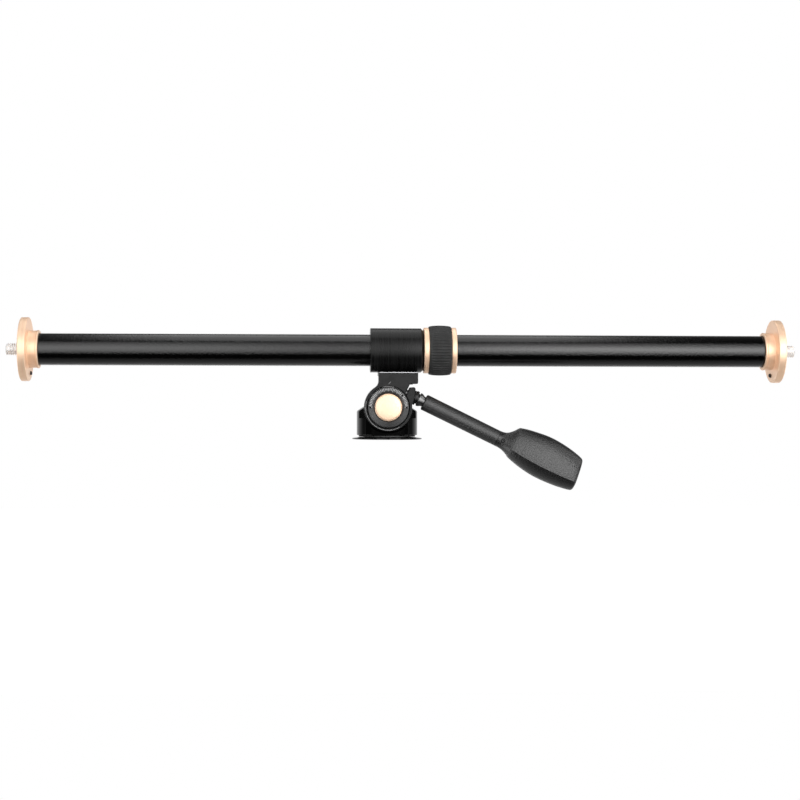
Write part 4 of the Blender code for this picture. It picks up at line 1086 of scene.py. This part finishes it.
def make_clamp_screw():
    """The screw through the ear, and the washer and tapered collar that the handle pushes on."""
    hole = CLAMP_SCREW_RADIUS + GAP
    screw = [(0, CLAMP_SCREW_END), (CLAMP_SCREW_RADIUS, CLAMP_SCREW_END),
             (CLAMP_SCREW_RADIUS, CLAMP_SCREW_TIP, SOFT_EDGE), (0, CLAMP_SCREW_TIP)]
    # The screw and the taper collar below take the darkened steel: painted shade in the gap before the rod
    dress(settle(spin("clamp_bolt", screw, CLAMP, MEDIUM)), "handle", "grey_steel", "clamp_screw")
    hub_end = TAPER_START - GAP
    washer = [
        (WASHER_HUB_RADIUS, hub_end), (WASHER_HUB_RADIUS, WASHER_HIGH),
        (WASHER_RADIUS, WASHER_HIGH, PLAIN_EDGE), (WASHER_RADIUS, WASHER_LOW, PLAIN_EDGE),
        (hole, WASHER_LOW), (hole, hub_end)]
    dress(settle(spin("washer", washer, CLAMP, MEDIUM)), "handle", "dark_steel", "thrust_washer")
    neck_end = ROD_START - GAP
    taper = [
        (TAPER_NARROW, neck_end), (TAPER_NARROW, TAPER_END), (TAPER_WIDE, TAPER_START + TAPER_RIM),
        (TAPER_WIDE, TAPER_START, SMALL_EDGE), (hole, TAPER_START), (hole, neck_end)]
    dress(settle(spin("taper", taper, CLAMP, MEDIUM)), "handle", "grey_steel", "taper_collar")


def rod_ring(radius, height, seam):
    """A circle with a low moulding seam along its front and its back."""
    quarter = pi / 2 - ROD_SEAM_ANGLE
    seams = (quarter, 2 * pi - quarter)

    def reach_at(angle):
        near = any(abs(angle - spot) < ROD_SEAM_WIDTH for spot in seams)
        return radius + seam * ROD_SEAM_HEIGHT * near

    return turned_ring(reach_at, height, FINE)


def make_rod():
    """The handle's rod, with the tenon that holds the grip."""
    hole = CLAMP_SCREW_RADIUS + GAP
    hole_end = CLAMP_SCREW_END + GAP
    tip = ROD_END + TENON_LENGTH
    rows = [
        (TENON_RADIUS, tip, 0), (TENON_RADIUS, ROD_END, 0), (ROD_END_RADIUS, ROD_END, 0),
        (ROD_END_RADIUS, ROD_END - GAP, 1), (ROD_RADIUS, ROD_START + ROD_SEAM_START, 1)]
    rows += [(ROD_RADIUS - inside, ROD_START + along, 0) for along, inside in ROD_START_CURVE]
    rows += [(hole, ROD_START, 0), (hole, hole_end, 0)]
    rings = [[(0, 0, tip)]] + [rod_ring(*row) for row in rows] + [[(0, 0, hole_end)]]
    rod = settle(skin("rod", rings, CLAMP))
    dress(rod, "handle", "textured_black", "handle_rod", look="rod_black", sharp=40)


def grip_ring(height, above, below, width, square, lean):
    """A section that goes from round to the grip's faceted form; the handle's own X points down."""
    half = smooth_curve(GRIP_TOP_CURVE, GRIP_CURVE_STEPS) + smooth_curve(GRIP_LOW_CURVE, GRIP_CURVE_STEPS)[1:]
    outline = []
    for down, out in half:
        turn = atan2(out, down)
        down = square * down + (1 - square) * cos(turn)
        out = square * out + (1 - square) * sin(turn)
        outline.append((down * (below if down > 0 else above), -out * width))
    outline += [(x, -y) for x, y in reversed(outline[1:-1])]
    return [(x * MM, y * MM, height + lean * x * MM) for x, y in outline]


def make_grip():
    sections = smooth_curve(GRIP_SECTIONS, GRIP_SECTION_STEPS)
    length = sections[-1][0]
    rings = []
    for place, above, below, width, square in sections:
        lean = GRIP_END_LEAN * (place / length) ** GRIP_LEAN_POWER
        rings.append(grip_ring(ROD_END + place * MM, above, below, width, square, lean))
    first, last = rings[0], rings[-1]
    rings = [[(0, 0, first[0][2])]] + rings + [[(0, 0, last[0][2])]]
    grip = skin("grip", rings, CLAMP)
    carve(grip, peg("tenon", TENON_RADIUS + GAP, ROD_END - MM, ROD_END + TENON_LENGTH + GAP, CLAMP))
    carve(grip, peg("screw_hole", GRIP_SCREW_RADIUS + GAP, GRIP_SCREW_TIP, 3 * GRIP_SCREW_FACE, GRIP_SCREW))
    dress(settle(grip), "handle", "textured_black", "handle_grip", sharp=24)
    screw = socket_screw("set_screw_grip", GRIP_SCREW_RADIUS, GRIP_SCREW_TIP, GRIP_SCREW_FACE, FINE_EDGE,
                         GRIP_SCREW_SOCKET, GRIP_SCREW)
    dress(settle(screw), "handle", "bright_steel", "grip_screw", look="dark_steel")


def dress_solids():
    """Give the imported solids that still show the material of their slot."""
    for part in frame["record"]["subparts"]:
        node = frame["nodes"][part["node"]]
        node.data.materials.clear()
        node.data.materials.append(LOOKS[part["material_slot"]])


# Floor, light and camera

def ray_kinds(tree):
    """1 for camera rays, and 1 for rays that a shiny or clear surface sends on."""
    rays = add_node(tree, "ShaderNodeLightPath").outputs
    sent_on = calculate(tree, "MAXIMUM", rays["Is Glossy Ray"], rays["Is Transmission Ray"])
    return rays["Is Camera Ray"], sent_on


def pale_floor(made):
    """Floor that glows for the camera and in mirrors, so that it looks like the background."""
    made.fixed(base_color=FLOOR_GREY, roughness=FLOOR_ROUGHNESS, emission_color=WHITE)
    seen = calculate(made.tree, "MAXIMUM", *ray_kinds(made.tree))
    made.link(calculate(made.tree, "MULTIPLY", seen, FLOOR_GLOW), made.shader.inputs["Emission Strength"])


def make_floor():
    shape = bmesh.new()
    corners = rectangle(-FLOOR_REACH, FLOOR_REACH, FLOOR_START, FLOOR_REACH)
    shape.faces.new([shape.verts.new((x, y, FLOOR_HEIGHT)) for x, y in corners])
    floor = add_object("floor", shape, PAN)
    floor.data.materials.append(look_of(pale_floor))


def make_world():
    """A studio room: a white background behind the object, the rest lit by the angle around the column."""
    world = bpy.data.worlds.new("studio")
    bpy.context.scene.world = world
    world.use_nodes = True
    tree = world.node_tree
    view = add_node(tree, "ShaderNodeTexCoord").outputs["Generated"]
    direction = add_node(tree, "ShaderNodeSeparateXYZ", {"Vector": view}).outputs
    angle = calculate(tree, "ARCTAN2", direction["Z"], calculate(tree, "MULTIPLY", direction["Y"], -1))
    around = remap(tree, angle, -pi, pi, 0, 1)
    ramp = add_node(tree, "ShaderNodeValToRGB", {"Fac": around})
    first, last = ramp.color_ramp.elements
    first.position, last.position = 0, 1
    for degrees, level in ROOM_LIGHT[1:-1]:
        ramp.color_ramp.elements.new(degrees / 360 + 0.5)
    for element, (degrees, level) in zip(ramp.color_ramp.elements, ROOM_LIGHT):
        element.color = (level, level, level, 1)
    lean = calculate(tree, "ABSOLUTE", direction["X"])
    room = calculate(tree, "MULTIPLY", ramp.outputs["Color"], remap(tree, lean, *SIDE_FADE, 1, SIDE_LEVEL))
    behind = remap(tree, direction["Y"], *BACKGROUND_EDGE, 0, 1)
    rise = calculate(tree, "ABSOLUTE", direction["Z"])
    white_share = calculate(tree, "MULTIPLY", behind, remap(tree, rise, *BACKGROUND_RISE, 1, 0))
    camera_ray, mirrored_ray = ray_kinds(tree)
    mirrored = calculate(tree, "MULTIPLY", mirrored_ray, white_share)
    seen = calculate(tree, "MAXIMUM", camera_ray, mirrored)
    mix = add_node(tree, "ShaderNodeMix", {"Factor": seen, "A": room, "B": 1})
    background = tree.nodes["Background"]
    background.inputs["Color"].default_value = WHITE
    tree.links.new(mix.outputs["Result"], background.inputs["Strength"])


def softbox(name, place, away, size, level):
    """An area lamp of a plain light level; away points from the object out to the lamp."""
    width, height = size
    light = bpy.data.lights.new(name, "AREA")
    light.shape = "RECTANGLE"
    light.size = width
    light.size_y = height
    light.energy = level * pi * width * height
    facing = Vector(away).to_track_quat("Z", "Y").to_matrix().to_4x4()
    put(name, light, Matrix.Translation(place) @ facing)


def make_lights():
    """Stacked boxes in front, brightest at the middle of each stack, with boxes at the sides and overhead."""
    for name, (left, right, levels) in FRONT_LIGHTS.items():
        for layer, ((low, high), level) in enumerate(zip(FRONT_LAYERS, levels)):
            place = ((left + right) / 2, LAYER_STEP * layer - LIGHT_DISTANCE, (low + high) / 2)
            softbox("%s_%d" % (name, layer), place, (0, -1, 0), (right - left, high - low), level)
    for side in (-1, 1):
        for rise in SIDE_LIGHT_RISES:
            place = (side * LIGHT_DISTANCE, SIDE_LIGHT_DEPTH, rise)
            softbox("side_light", place, (side, 0, 0), SIDE_LIGHT_SIZE, SIDE_LIGHT_LEVEL)
    softbox("top_light", TOP_LIGHT_PLACE, (0, 0, 1), TOP_LIGHT_SIZE, TOP_LIGHT_LEVEL)


def make_camera():
    data = bpy.data.cameras.new("camera")
    data.sensor_fit = "HORIZONTAL"
    data.sensor_width = SENSOR_WIDTH
    data.lens = FOCAL_PIXELS * SENSOR_WIDTH / PHOTO_SIZE
    data.clip_start = CLIP_START
    place = (Matrix.Translation(CAMERA_PLACE) @ Matrix.Rotation(CAMERA_YAW, 4, "Z")
             @ Matrix.Rotation(radians(90), 4, "X") @ Matrix.Rotation(CAMERA_ROLL, 4, "Z"))
    bpy.context.scene.camera = put("camera", data, place)


make_foot()
make_base()
make_pan_lock()
make_dial()
make_dial_marks()
make_yoke()
make_index_mark()
make_yoke_edge_highlights()
make_sleeve()
make_collar()
make_column()
make_clamp_screw()
make_rod()
make_grip()
dress_solids()
make_floor()
make_world()
make_lights()
make_camera()

bpy.context.scene.view_settings.view_transform = "Standard"
